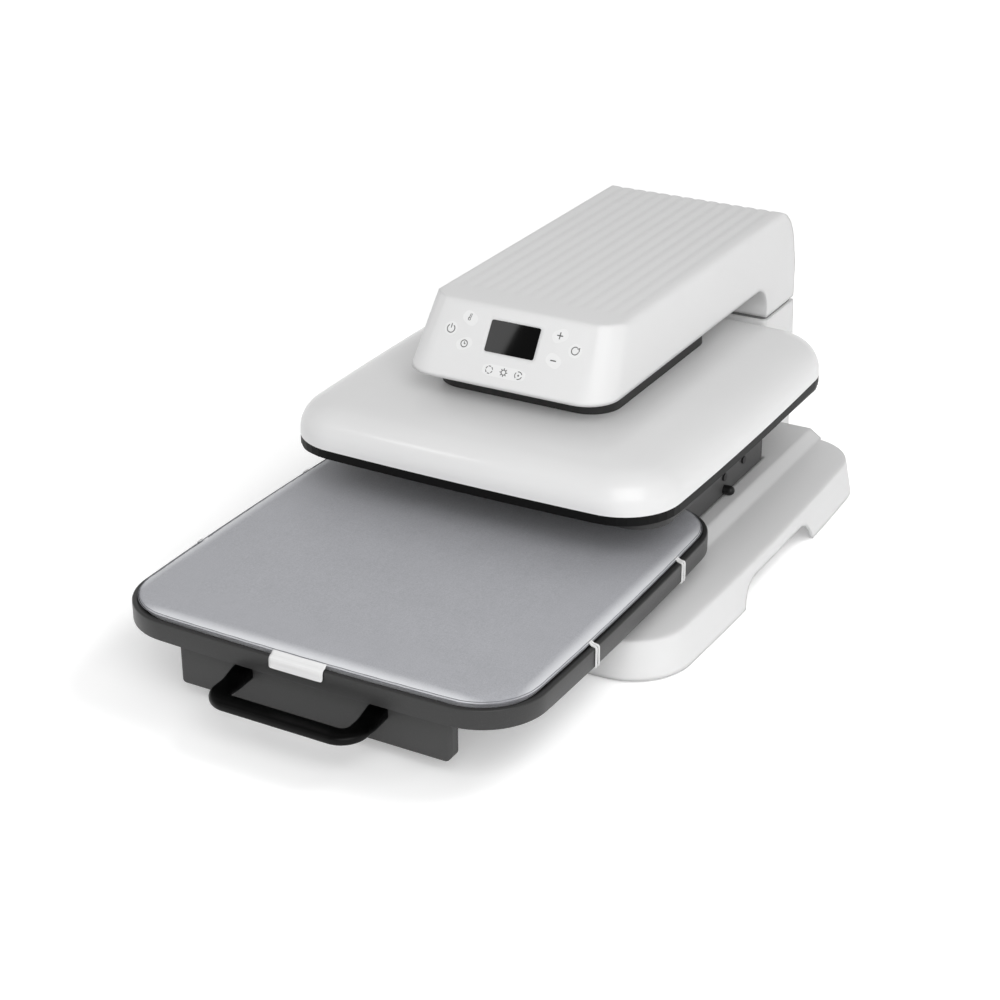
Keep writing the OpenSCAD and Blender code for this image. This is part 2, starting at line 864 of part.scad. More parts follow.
module power_board() {
    half = spine_x - supply_side;
    face = supply_stand + board_t;
    color("darkgreen")
    translate([0, spine_front + web_set + spine_t, supply_low]) {
        block([-half, supply_stand, 0], [half, face, supply_h]);
        for (x = [-half + stand_inset, half - stand_inset], z = [stand_inset, supply_h - stand_inset])
            translate([x, supply_stand, z])
                rotate([90, 0, 0])
                    cylinder(h = supply_stand, r = supply_stand_r);
        translate([-half + stand_inset, face, stand_inset])
            cube([coil_box[0], coil_box[1] - face, coil_box[2]]);
        translate([half / 3, face, supply_h / 3])
            rotate([-90, 0, 0])
                cylinder(h = coil_len, r = coil_r);
    }
}

/* Platen: heated plate, insulation, rim and domed cover on a pressure plate. */
plate_r = 34;
rim_fit = 0.3;
tube_r = 4;
board_set = 10;
carry_gap = 2;
board_low = plate_z + plate_t + 2 * tube_r;
board_h = 6;
carry_low = board_low + board_h + carry_gap;
carry_t = 6;
carry_w = 300;
carry_d = 320;
stand_r = 8;
stand_share = 0.42;
stand_places = [for (x = [-1, 1], y = [-1, 0, 1]) [x * carry_w, y * carry_d] * stand_share];
cover_steps = [[0, 0], [0.5, 0.2], [2, 0.38], [5.5, 0.56], [10, 0.7], [16, 0.81], [24, 0.9],
    [36, 0.96], [56, 0.99], [80, 1]];

module cover_form(inset, drop) {
    rise = cover_rise - drop;
    hull()
        for (s = cover_steps)
            translate([0, 0, cover_z + rise * s[1] - (s[1] < 1 ? 0 : fit)])
                soft_slab(platen_w, platen_d, platen_r, platen_bow, s[0] + inset, fit);
}

module neck_outline(grow) {
    translate([0, neck_shift])
        round_rect(neck_w + 2 * grow, neck_d + 2 * grow, neck_r + grow);
}

lip_w = 4;
lip_h = 2;

module platen_cover() {
    color("white")
    difference() {
        cover_form(0, 0);
        difference() {
            cover_form(cover_wall, cover_wall);
            translate([0, 0, cover_top - cover_wall - lip_h])
                linear_extrude(cover_wall)
                    neck_outline(lip_w);
        }
        translate([0, 0, cover_z - over])
            soft_slab(platen_w, platen_d, platen_r, platen_bow, cover_wall, 2 * over);
        translate([0, 0, cover_z + over])
            linear_extrude(cover_rise + over)
                neck_outline(rim_fit);
    }
}

module platen_rim() {
    color("black")
    difference() {
        translate([0, 0, rim_z])
            soft_slab(platen_w, platen_d, platen_r, platen_bow, 0, rim_h);
        translate([0, 0, rim_z - over])
            linear_extrude(rim_h + 2 * over)
                round_rect(plate_w + 2 * rim_fit, plate_d + 2 * rim_fit, plate_r + rim_fit);
    }
}

module heating_plate() {
    color("silver")
    translate([0, 0, plate_z])
        linear_extrude(plate_t)
            round_rect(plate_w, plate_d, plate_r);
}

// A heater tube that runs once round the plate on rounded corners
module heater_loop(w, d, r) {
    for (s = [-1, 1]) {
        translate([s * w / 2, 0, 0])
            rotate([90, 0, 0])
                cylinder(h = d - 2 * r, r = tube_r, center = true);
        translate([0, s * d / 2, 0])
            rotate([0, 90, 0])
                cylinder(h = w - 2 * r, r = tube_r, center = true);
        for (t = [-1, 1])
            translate([s * (w / 2 - r), t * (d / 2 - r), 0])
                rotate([0, 0, s > 0 ? (t > 0 ? 0 : -90) : (t > 0 ? 90 : 180)])
                    rotate_extrude(angle = 90)
                        translate([r, 0])
                            circle(tube_r, $fn = 24);
    }
}

module heater_tube() {
    outer_share = 0.78;
    inner_share = 0.42;
    bend = 30;
    color("gray")
    translate([0, 0, plate_z + plate_t + tube_r]) {
        heater_loop(plate_w * outer_share, plate_d * outer_share, bend);
        heater_loop(plate_w * inner_share, plate_d * inner_share, bend);
    }
}

module insulation_board() {
    color("khaki")
    difference() {
        translate([0, 0, board_low])
            linear_extrude(board_h)
                round_rect(plate_w - 2 * board_set, plate_d - 2 * board_set, plate_r);
        for (p = stand_places)
            translate([p[0], p[1], board_low - over])
                cylinder(h = board_h + 2 * over, r = stand_r + fit);
    }
}

module pressure_plate() {
    color("dimgray")
    difference() {
        union() {
            translate([0, 0, carry_low])
                linear_extrude(carry_t)
                    round_rect(carry_w, carry_d, stand_r);
            for (p = stand_places)
                translate([p[0], p[1], plate_z + plate_t])
                    cylinder(h = carry_low - plate_z - plate_t + over, r = stand_r);
        }
        for (x = [-rod_x, rod_x], y = [rod_front, rod_rear])
            translate([x, y, carry_low - over])
                cylinder(h = carry_t + 2 * over, r = rod_screw_r + fit);
    }
}

neck_top = 229.5;

module neck_skirt() {
    color("dimgray")
    difference() {
        translate([0, 0, carry_low + carry_t])
            linear_extrude(neck_top - carry_low - carry_t)
                neck_outline(0);
        translate([0, 0, carry_low + carry_t - over])
            linear_extrude(neck_top - carry_low - carry_t + 2 * over)
                neck_outline(-neck_wall);
    }
}

rod_top = 251;
rod_screw_r = 4;
rod_screw_head = 7;

module guide_rods() {
    color("silver")
    for (x = [-rod_x, rod_x], y = [rod_front, rod_rear])
        translate([x, y, carry_low + carry_t])
            difference() {
                cylinder(h = rod_top - carry_low - carry_t, r = rod_r);
                translate([0, 0, -over])
                    cylinder(h = 4 * rod_screw_r, r = rod_screw_r);
            }
}

module rod_screws() {
    color("black")
    for (x = [-rod_x, rod_x], y = [rod_front, rod_rear])
        translate([x, y, carry_low]) {
            cylinder(h = carry_t + 3 * rod_screw_r, r = rod_screw_r - fit / 4);
            translate([0, 0, -screw_head_h])
                cylinder(h = screw_head_h, r = rod_screw_head);
        }
}

module lift_screw() {
    color("silver")
    translate([0, 0, carry_low + carry_t]) {
        cylinder(h = rod_top - carry_gap - carry_low - carry_t, r = screw_r);
        cylinder(h = carry_t, r = 3 * screw_r);
    }
}

cutout_share = 0.12;
cutout_r = 11;
cutout_base = 4;
cutout_cap_r = 8;

module thermal_cutout() {
    color("silver")
    translate([0, plate_d * cutout_share, plate_z + plate_t]) {
        cylinder(h = cutout_base, r = cutout_r);
        cylinder(h = 2 * tube_r - fit, r = cutout_cap_r);
    }
}

/* Drawer: padded tray on a sheet frame with a front panel and a handle. */
pad_gap = 0.5;
tray_edge = 2.4;
tray_rear = tray_y + tray_d / 2;
notch_room = 5;
rail_notch = rail_half + rail_t + notch_room;

module tray() {
    color("dimgray")
    difference() {
        union() {
            translate([0, tray_y, tray_z])
                soft_slab(tray_w, tray_d, tray_r, tray_bow, 0, tray_h - 2 * tray_edge);
            translate([0, tray_y, 0])
                hull()
                    for (e = [[0, 2 * tray_edge + fit], [tray_edge * 0.3, tray_edge], [tray_edge, fit]])
                        translate([0, 0, tray_top - e[1]])
                            soft_slab(tray_w, tray_d, tray_r, tray_bow, e[0], fit);
        }
        translate([0, tray_y, tray_seat])
            soft_slab(tray_w, tray_d, tray_r, tray_bow, tray_rim - pad_gap, tray_h);
        translate([0, tray_y, tray_z - over])
            soft_slab(tray_w, tray_d, tray_r, tray_bow, tray_wall,
                tray_seat - tray_floor - tray_z + over);
        block([-rail_notch, tray_rear - 2 * tray_rim, tray_z - over],
            [rail_notch, tray_rear + over, tray_seat - tray_floor]);
    }
}

pad_edge = 4;
pad_base = tray_seat + 0.3;
pad_shares = [[0.35, 0], [0, 0.3], [0.3, 0.55], [1.4, 0.74], [3.5, 0.87], [8, 0.95], [16, 1]];

module pad() {
    high = pad_top - pad_base;
    color("lightgray")
    translate([0, tray_y, 0])
        hull()
            for (s = pad_shares)
                translate([0, 0, pad_base + (high - fit) * s[1]])
                    soft_slab(tray_w, tray_d, tray_r, tray_bow, tray_rim + pad_edge * s[0], fit);
}

tab_w = 56;
tab_t = 0.8;
tab_drop = 10;
tab_reach = 0.6;

module tab_profile() {
    front = tray_front - 0.3;
    top = tray_top + 0.3;
    back = tray_front + tray_rim + tab_reach;
    polygon([[front - tab_t, top - tab_drop], [front, top - tab_drop], [front, top],
        [back, top], [back, top + tab_t], [front - tab_t * 0.4, top + tab_t],
        [front - tab_t, top + tab_t * 0.4]]);
}

module pad_tab() {
    color("white")
    along_x(tab_w)
        tab_profile();
}

strap_w = 7;
strap_t = 1.1;
strap_places = [-66, 103];

// A flat loop from the pad's edge over the rim, down the wall and back under it
module strap_profile() {
    inside = tray_w / 2 - tray_rim - 1;
    outside = tray_w / 2 + 0.3;
    top = tray_top + 0.3;
    low = tray_z - 0.3;
    polygon([[inside, top + strap_t], [inside, top], [outside, top], [outside, low],
        [outside - tray_wall - 3, low], [outside - tray_wall - 3, low - strap_t],
        [outside + strap_t * 0.5, low - strap_t], [outside + strap_t, low - strap_t * 0.5],
        [outside + strap_t, top + strap_t * 0.5], [outside + strap_t * 0.5, top + strap_t]]);
}

module pad_straps() {
    color("white")
    both_sides()
        for (y = strap_places)
            along_y(tray_y + y - strap_w / 2, tray_y + y + strap_w / 2)
                strap_profile();
}

panel_front = tray_front + panel_set;
panel_flange = 12;
panel_r = 6;
drawer_half = rail_half - slide_t;
slide_set = 38;
drawer_plate_front = panel_front + panel_flange + slide_set;
drawer_plate_rear = drawer_plate_front + slide_len;
slide_z = 18;

module front_panel() {
    high = tray_seat - tray_floor;
    bend = 4;
    color("dimgray")
    difference() {
        intersection() {
            union() {
                translate([0, panel_front + panel_flange, 0])
                    linear_extrude(high)
                        difference() {
                            round_rect(panel_w, 2 * panel_flange, bend);
                            round_rect(panel_w - 2 * sheet_t, 2 * (panel_flange - sheet_t),
                                bend - sheet_t);
                            translate([-panel_w, 0])
                                square([2 * panel_w, 2 * panel_flange]);
                        }
                block([-panel_w / 2 + bend, panel_front + sheet_t / 2, high - sheet_t],
                    [panel_w / 2 - bend, panel_front + panel_flange, high]);
            }
            along_y(panel_front - over, panel_front + 2 * panel_flange) {
                translate([0, (panel_z + high) / 2])
                    round_rect(panel_w, high - panel_z, panel_r);
                translate([-panel_w / 2, high - 2 * panel_r])
                    square([panel_w, 2 * panel_r]);
            }
        }
        for (x = [-1, 1])
            translate([x * (handle_w - handle_bar) / 2, panel_front - over, handle_z + handle_post_h / 2])
                rotate([-90, 0, 0])
                    cylinder(h = sheet_t + 2 * over, r = handle_screw_r + fit);
    }
}

module drawer_frame() {
    high = tray_seat - tray_floor - sheet_t;
    wall_half = drawer_half - 3 * sheet_t;
    front_half = drawer_half - slide_set;
    color("dimgray")
    difference() {
        union() {
            both_sides()
                block([drawer_half - sheet_t, drawer_plate_front, slide_z],
                    [drawer_half, drawer_plate_rear, high]);
            block([-drawer_half, drawer_plate_front, slide_z],
                [drawer_half, drawer_plate_rear, slide_z + sheet_t]);
            block([-front_half, panel_front + sheet_t, slide_z],
                [front_half, drawer_plate_front, slide_z + sheet_t]);
            block([-wall_half, panel_front + sheet_t, slide_z],
                [wall_half, panel_front + 2 * sheet_t, high]);
            for (y = [drawer_plate_front + slide_len * 0.45, drawer_plate_rear - 2 * tray_rim])
                block([-drawer_half, y, high], [drawer_half, y + 2 * tray_rim, high + sheet_t]);
        }
        for (x = [-1, 1], y = [0.25, 0.75])
            translate([x * drawer_half / 2, drawer_plate_front + slide_len * y, slide_z - over])
                cylinder(h = 2 * over + sheet_t, r = drawer_half / 5);
        for (x = [-1, 1])
            translate([x * (handle_w - handle_bar) / 2, panel_front, handle_z + handle_post_h / 2])
                rotate([-90, 0, 0])
                    cylinder(h = 4 * sheet_t, r = handle_screw_r + fit);
    }
}

handle_r = 22;
handle_screw_r = 2.5;

module handle() {
    front = panel_front - handle_reach;
    depth = 2 * handle_reach;
    color("black")
    difference() {
        intersection() {
            translate([0, panel_front, handle_z])
                linear_extrude(handle_post_h)
                    difference() {
                        round_rect(handle_w, depth, handle_r);
                        round_rect(handle_w - 2 * handle_bar, depth - 2 * handle_bar,
                            handle_r - handle_bar / 6);
                    }
            along_x(handle_w + over)
                polygon([[front - over, handle_z], [panel_front, handle_z],
                    [panel_front, handle_z + handle_post_h],
                    [panel_front - handle_post_h / 2, handle_z + handle_post_h],
                    [panel_front - 2 * handle_post_h, handle_z + handle_h],
                    [front - over, handle_z + handle_h]]);
        }
        for (x = [-1, 1])
            translate([x * (handle_w - handle_bar) / 2, panel_front - 4 * handle_screw_r,
                handle_z + handle_post_h / 2])
                rotate([-90, 0, 0])
                    cylinder(h = 4 * handle_screw_r + over, r = handle_screw_r);
    }
}

module handle_screws() {
    head_r = 4.5;
    head_h = 2;
    color("silver")
    for (x = [-1, 1])
        translate([x * (handle_w - handle_bar) / 2, panel_front - 3 * handle_screw_r,
            handle_z + handle_post_h / 2])
            rotate([-90, 0, 0]) {
                cylinder(h = 3 * handle_screw_r + 2 * sheet_t, r = handle_screw_r - fit / 2);
                translate([0, 0, 3 * handle_screw_r + 2 * sheet_t])
                    cylinder(h = head_h, r = head_r);
            }
}

/* Telescopic slides: three nested channels on each side. */
slide_sheet = 1.3;
slide_gap = 0.35;

// A channel on its web, open towards the middle of the machine
module slide_channel(web_x, reach, low, high, y0, y1) {
    block([web_x - slide_sheet, y0, low], [web_x, y1, high]);
    block([web_x - reach, y0, low], [web_x, y1, low + slide_sheet]);
    block([web_x - reach, y0, high - slide_sheet], [web_x, y1, high]);
}

outer_y = frame_front;
middle_y = (outer_y + drawer_plate_front) / 2;
inner_y = drawer_plate_front;
nest = slide_sheet + slide_gap;

module slide_outer() {
    color("silver")
    slide_channel(rail_half, slide_t - 2, slide_z, slide_z + slide_h, outer_y, outer_y + slide_len);
}

module slide_middle() {
    color("silver")
    slide_channel(rail_half - nest, slide_t - nest - 1.5, slide_z + nest, slide_z + slide_h - nest,
        middle_y, middle_y + slide_len);
}

module slide_inner() {
    low = slide_z + 2 * nest;
    high = slide_z + slide_h - 2 * nest;
    color("silver")
    union() {
        block([drawer_half, inner_y, low], [drawer_half + slide_sheet, inner_y + slide_len, high]);
        for (z = [low, high - slide_sheet])
            block([drawer_half, inner_y, z], [rail_half - 2 * nest, inner_y + slide_len, z + slide_sheet]);
    }
}

/* Every piece is drawn about the platen's centre, then set about the middle of the whole. */
home_y = -(panel_front - handle_reach + column_rear + column_foot) / 2;

translate([0, home_y, 0]) {
    base_shell();
    base_frame();
    rubber_feet();
    column_shell();
    seam_collar();
    arm_shell();
    arm_bottom_cover();
    press_frame();
    guide_carrier();
    gear_motor();
    display_glass();
    display_board();
    power_board();
    mains_inlet();
    switch_bezel();
    power_rocker();
    mirror([1, 0, 0]) slide_outer();  // slide_outer_left
    slide_outer();  // slide_outer_right
    rail_stops();
    rail_screws();
    platen_cover();
    platen_rim();
    heating_plate();
    heater_tube();
    insulation_board();
    pressure_plate();
    neck_skirt();
    guide_rods();
    lift_screw();
    thermal_cutout();
    rod_screws();
    tray();
    pad();
    pad_tab();
    pad_straps();
    drawer_frame();
    front_panel();
    handle();
    handle_screws();
    mirror([1, 0, 0]) slide_inner();  // slide_inner_left
    slide_inner();  // slide_inner_right
    mirror([1, 0, 0]) slide_middle();  // slide_middle_left
    slide_middle();  // slide_middle_right
}
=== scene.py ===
"""Looks of a flat heat press whose padded tray slides out on a drawer under a heated platen."""

import math

import bmesh
import bpy
import numpy as np
from mathutils import Matrix, Vector


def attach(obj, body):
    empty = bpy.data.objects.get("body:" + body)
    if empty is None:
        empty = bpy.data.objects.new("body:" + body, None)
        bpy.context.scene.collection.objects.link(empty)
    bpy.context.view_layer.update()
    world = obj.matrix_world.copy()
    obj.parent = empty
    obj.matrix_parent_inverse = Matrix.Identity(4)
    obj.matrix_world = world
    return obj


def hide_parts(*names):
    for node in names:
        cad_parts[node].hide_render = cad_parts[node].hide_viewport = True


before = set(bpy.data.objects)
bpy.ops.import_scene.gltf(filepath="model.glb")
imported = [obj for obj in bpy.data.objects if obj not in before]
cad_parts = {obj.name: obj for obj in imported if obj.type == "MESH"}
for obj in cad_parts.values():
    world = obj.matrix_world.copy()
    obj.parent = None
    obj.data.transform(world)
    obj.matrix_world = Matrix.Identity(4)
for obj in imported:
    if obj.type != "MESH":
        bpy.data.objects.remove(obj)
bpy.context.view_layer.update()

# Camera: it stands in front of the machine and to its right, and looks down on the drawer.
# Its place, turn and lens come from the machine's own outline.
azimuth, elevation, roll = (math.radians(turn) for turn in (29.206, 25.776, -0.198))
eye_place = (0.87339, -1.60369, 0.94606)
eye_lens, sensor_width = 77.06, 36
back = Vector((math.sin(azimuth) * math.cos(elevation), -math.cos(azimuth) * math.cos(elevation),
    math.sin(elevation)))
level = Vector((math.cos(azimuth), math.sin(azimuth), 0))
upward = back.cross(level)
aside = level * math.cos(roll) + upward * math.sin(roll)
upward = upward * math.cos(roll) - level * math.sin(roll)
eye = bpy.data.objects.new("eye", bpy.data.cameras.new("eye"))
eye.data.lens, eye.data.sensor_width = eye_lens, sensor_width
eye.data.clip_end = 60
turned = Matrix((aside, upward, back)).transposed().to_4x4()
eye.matrix_world = Matrix.Translation(eye_place) @ turned
bpy.context.scene.collection.objects.link(eye)
bpy.context.scene.camera = eye
bpy.context.scene.view_settings.view_transform = "Standard"


# Materials: every one is a tree of nodes. A shader output is wrapped, so that masks are
# written as plain sums and products, and one method adds all the nodes.
class Wire:
    """One shader output. Python's operators on it add Math nodes, so masks add up as written."""

    def __init__(self, nodes, socket):
        self.nodes, self.socket = nodes, socket

    def math(self, operation, *terms):
        return self.nodes.node("ShaderNodeMath", {"operation": operation}, *terms)

    def __add__(self, other):
        return self.math("ADD", self, other)

    def __sub__(self, other):
        return self.math("SUBTRACT", self, other)

    def __rsub__(self, other):
        return self.math("SUBTRACT", other, self)

    def __mul__(self, other):
        return self.math("MULTIPLY", self, other)

    __radd__, __rmul__ = __add__, __mul__


class Nodes:
    """A node tree under way: node() is the one way in which nodes are added."""

    def __init__(self, tree):
        self.tree = tree

    def wire(self, socket, value):
        if isinstance(value, Wire):
            self.tree.links.new(value.socket, socket)
        elif socket.type == "RGBA" and len(value) == 3:
            socket.default_value = (*value, 1)
        else:
            socket.default_value = value

    def node(self, kind, settings, *values, output=0, **sockets):
        made = self.tree.nodes.new(kind)
        for key, value in settings.items():
            setattr(made, key, value)
        for key, value in [*enumerate(values), *sockets.items()]:
            self.wire(made.inputs[key], value)
        return Wire(self, made.outputs[output])

    def place(self, stretch=(1, 1, 1)):
        spot = self.node("ShaderNodeTexCoord", {}, output=3)
        return self.node("ShaderNodeMapping", {}, Vector=spot, Scale=stretch)

    def noise(self, spot, scale, detail=2.0):
        return self.node("ShaderNodeTexNoise", {}, Vector=spot, Scale=scale, Detail=detail)

    def between(self, share, first, second):
        mix = self.node("ShaderNodeMix", {"data_type": "RGBA"}, share, output=2)
        for key, value in ((6, first), (7, second)):
            self.wire(mix.socket.node.inputs[key], value)
        return mix

    def bump(self, height, distance, strength, **under):
        return self.node("ShaderNodeBump", {}, Height=height, Distance=distance,
            Strength=strength, **under)


class Finish(Nodes):
    """A material under way, whose surface is one Principled shader."""

    def __init__(self, name, color, roughness, **fixed):
        self.material = bpy.data.materials.new(name)
        self.material.use_nodes = True
        super().__init__(self.material.node_tree)
        self.feed(Base_Color=color, Roughness=roughness, **fixed)

    def feed(self, **sockets):
        for key, value in sockets.items():
            self.wire(self.tree.nodes["Principled BSDF"].inputs[key.replace("_", " ")], value)


def tone(red, green=None, blue=None):
    """A colour from 0 to 255 steps of the screen, turned into linear light."""
    steps = np.array([red, red if green is None else green, red if blue is None else blue]) / 255
    return tuple(np.where(steps <= 0.04045, steps / 12.92, ((steps + 0.055) / 1.055) ** 2.4))


# Studio: a white floor that fades into a white surround, a large soft box from the front
# right, a strip that the display mirrors, and a lamp from behind on the right that lights
# only the floor, so that the machine's shadow shows on it.
def seen_directly(nodes):
    """Three outputs that are one for a ray from the camera, a mirror and a glass in turn, and
    nought for a ray that carries light."""
    path = nodes.node("ShaderNodeLightPath", {})
    return [Wire(nodes, path.socket.node.outputs[name])
        for name in ("Is Camera Ray", "Is Glossy Ray", "Is Transmission Ray")]


def lay_floor(reach=9, near=0.7, far=2.6, near_glow=0.32, far_glow=0.64):
    """A wide white sheet. Where it is seen it glows, more so away from the machine, so that
    the shadow stays soft and pale and the rest is white."""
    mesh = bpy.data.meshes.new("floor")
    corners = [(x * reach, y * reach, 0) for x, y in ((-1, -1), (1, -1), (1, 1), (-1, 1))]
    mesh.from_pydata(corners, [], [(0, 1, 2, 3)])
    floor = bpy.data.objects.new("floor", mesh)
    bpy.context.scene.collection.objects.link(floor)
    paper = Finish("floor_paper", tone(232), 0.9, Specular_IOR_Level=0)
    camera, glossy, through = seen_directly(paper)
    away = paper.node("ShaderNodeVectorMath", {"operation": "LENGTH"},
        paper.node("ShaderNodeTexCoord", {}, output=3), output=1)
    lift = paper.node("ShaderNodeMapRange", {}, away, near, far, near_glow, far_glow)
    glow = paper.node("ShaderNodeEmission", {}, Strength=(camera + glossy + through) * lift)
    matt = Wire(paper, paper.tree.nodes["Principled BSDF"].outputs[0])
    both = paper.node("ShaderNodeAddShader", {}, matt, glow)
    paper.wire(paper.tree.nodes["Material Output"].inputs["Surface"], both)
    mesh.materials.append(paper.material)
    return floor


def light_world(fill_strength=0.54, dimming=0.75, dim_from=0.05, dim_to=0.75):
    """White where it is seen, a weaker even fill where it lights, and for mirrors dim
    overhead, between two heights of the ray's direction."""
    world = bpy.data.worlds.new("surround")
    world.use_nodes = True
    fill = Nodes(world.node_tree)
    camera, glossy, through = seen_directly(fill)
    ray = fill.node("ShaderNodeTexCoord", {}, output=0)
    height = fill.node("ShaderNodeSeparateXYZ", {}, ray, output=2)
    mirror = 1 - dimming * fill.node("ShaderNodeMapRange", {}, height, dim_from, dim_to)
    lighting = fill_strength * (1 - camera - glossy - through)
    strength = lighting + camera + (glossy + through) * mirror
    fill.wire(world.node_tree.nodes["Background"].inputs["Color"], (1, 1, 1))
    fill.wire(world.node_tree.nodes["Background"].inputs["Strength"], strength)
    bpy.context.scene.world = world


def soft_box(name, place, aim, wide, high, watts, upright=(0, 0, 1)):
    """A flat lamp that faces its aim, turned so that its height follows the upright."""
    lamp = bpy.data.lights.new(name, "AREA")
    lamp.shape, lamp.size, lamp.size_y, lamp.energy = "RECTANGLE", wide, high, watts
    box = bpy.data.objects.new(name, lamp)
    out = (Vector(place) - Vector(aim)).normalized()
    across = Vector(upright).cross(out).normalized()
    turned = Matrix((across, out.cross(across), out)).transposed().to_4x4()
    box.matrix_world = Matrix.Translation(place) @ turned
    bpy.context.scene.collection.objects.link(box)
    return box


floor = lay_floor()
light_world()
soft_box("key_box", place=(1.3, -1.5, 1.6), aim=(0, 0, 0.12), wide=2.2, high=1.8, watts=33)

# The strip's right edge lies where the display mirrors the camera's ray through its middle,
# so the reflection ends there in a slanted line.
strip_edge, strip_upright = Vector((-0.8105, -1.214, 1.307)), Vector((0.283, 0.532, 0.798))
strip_wide = 0.22
display_middle = Vector((0, -0.0175, 0.2328))
strip_left = (strip_edge - display_middle).normalized().cross(strip_upright).normalized()
half_strip = strip_left * strip_wide / 2
soft_box("side_box", place=strip_edge + half_strip, aim=display_middle + half_strip,
    wide=strip_wide, high=0.3, watts=1.2, upright=strip_upright)

over_box = soft_box("over_box", place=(1.0, 0.62, 1.6), aim=(0, -0.1, 0), wide=0.8, high=0.8,
    watts=15)
paper_only = bpy.data.collections.new("paper_only")
paper_only.objects.link(floor)
over_box.light_linking.receiver_collection = paper_only


# Shells of the base, column and arm: moulded white plastic with a fine grain and satin
# gloss. They keep the CAD's shape, joined up and softly rounded along their sharp edges.
def moulded(name, color, roughness, grain=0.00004, pitch=1400, drift_depth=0.035, rounding=0,
        **fixed):
    """Moulded plastic: a fine etched grain, with slow drifts of tone and gloss over it. Edges
    look rounded off by a radius, where one is given."""
    plastic = Finish(name, color, roughness, **fixed)
    spot = plastic.place()
    drift, fine = plastic.noise(spot, 7), plastic.noise(spot, pitch)
    shaded = tuple(part * (1 - drift_depth) for part in color)
    under = {}
    if rounding:
        under["Normal"] = plastic.node("ShaderNodeBevel", {"samples": 6}, rounding)
    plastic.feed(Base_Color=plastic.between(drift, shaded, color),
        Roughness=(drift - 0.5) * 0.1 + (fine - 0.5) * 0.12 + roughness,
        Normal=plastic.bump(fine, grain, 0.6, **under))
    return plastic.material


def new_piece(name, mesh, material, body, slot, *nodes):
    """Puts a mesh in the scene as a piece that rides on a body and stands for CAD nodes."""
    piece = bpy.data.objects.new(name, mesh)
    bpy.context.scene.collection.objects.link(piece)
    mesh.materials.clear()
    mesh.materials.append(material)
    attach(piece, body)
    if nodes:
        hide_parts(*nodes)
    return piece


def joined(node, name, merge_flats, crease=32, same_spot=2e-6, same_plane=0.4):
    """A CAD node's own mesh with its triangles joined, shaded smooth but for real edges. Flat
    faces are merged where their edges are to be rounded. Angles are in degrees."""
    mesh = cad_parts[node].data.copy()
    mesh.name = name
    shape = bmesh.new()
    shape.from_mesh(mesh)
    bmesh.ops.remove_doubles(shape, verts=shape.verts, dist=same_spot)
    if merge_flats:
        bmesh.ops.dissolve_limit(shape, angle_limit=math.radians(same_plane), verts=shape.verts,
            edges=shape.edges)
    shape.to_mesh(mesh)
    shape.free()
    for layer in ("custom_normal", "sharp_face"):
        if layer in mesh.attributes:
            mesh.attributes.remove(mesh.attributes[layer])
    mesh.shade_smooth()
    mesh.set_sharp_from_angle(angle=math.radians(crease))
    return mesh


def soften(piece, width, steps=3, angle=28):
    """Rounds the edges of a piece that turn by more than the angle in degrees."""
    edge = piece.modifiers.new("edge", "BEVEL")
    edge.width, edge.segments, edge.limit_method = width, steps, "ANGLE"
    edge.angle_limit = math.radians(angle)
    edge.harden_normals = True


white_shell = moulded("white_shell", tone(232), 0.46, rounding=0.006)
for node, name, width in (
        ("base_shell", "base_skin", 0.0022),
        ("column_shell", "column_skin", 0.0012),
        ("arm_shell", "arm_skin", 0),
        ("arm_bottom_cover", "arm_underside", 0)):
    skin = new_piece(name, joined(node, name, merge_flats=width > 0), white_shell, "chassis",
        "white_shell", node)
    if width:
        soften(skin, width)


# Metalwork: the base channel and drawer are bent sheet with a dark powder coat, the slides
# are zinc plated, and the press frame inside the arm is plain rolled steel.
def powder_coat(name, color, roughness):
    """Powder coat: a low orange peel with a sparse paler speck."""
    coat = Finish(name, color, roughness, Specular_IOR_Level=0.35)
    spot = coat.place()
    peel, speck, drift = coat.noise(spot, 420, 1), coat.noise(spot, 1900, 0), coat.noise(spot, 11)
    pale = tuple(part * 1.35 + 0.004 for part in color)
    coat.feed(Base_Color=coat.between((speck - 0.58) * 4 + (drift - 0.5) * 0.3, color, pale),
        Roughness=(drift - 0.5) * 0.14 + (speck - 0.5) * 0.2 + roughness,
        Normal=coat.bump(peel, 0.00009, 0.45))
    return coat.material


def drawn_metal(name, color, roughness, along=1, pitch=260):
    """Drawn or rolled metal: fine lines that run along one axis and break up the gloss."""
    metal = Finish(name, color, roughness, Metallic=1.0)
    stretch = [1.0, 1.0, 1.0]
    stretch[along] = 0.03
    lines, drift = metal.noise(metal.place(stretch), pitch * 8, 3), metal.noise(metal.place(), 14)
    worn = tuple(part * 0.82 for part in color)
    metal.feed(Base_Color=metal.between(drift, worn, color),
        Roughness=(lines - 0.5) * 0.35 + (drift - 0.5) * 0.15 + roughness,
        Normal=metal.bump(lines, 0.00003, 0.35))
    return metal.material


def dress(material, *nodes):
    """Gives CAD nodes that stay in the scene their finish."""
    for node in nodes:
        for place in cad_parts[node].material_slots:
            place.material = material


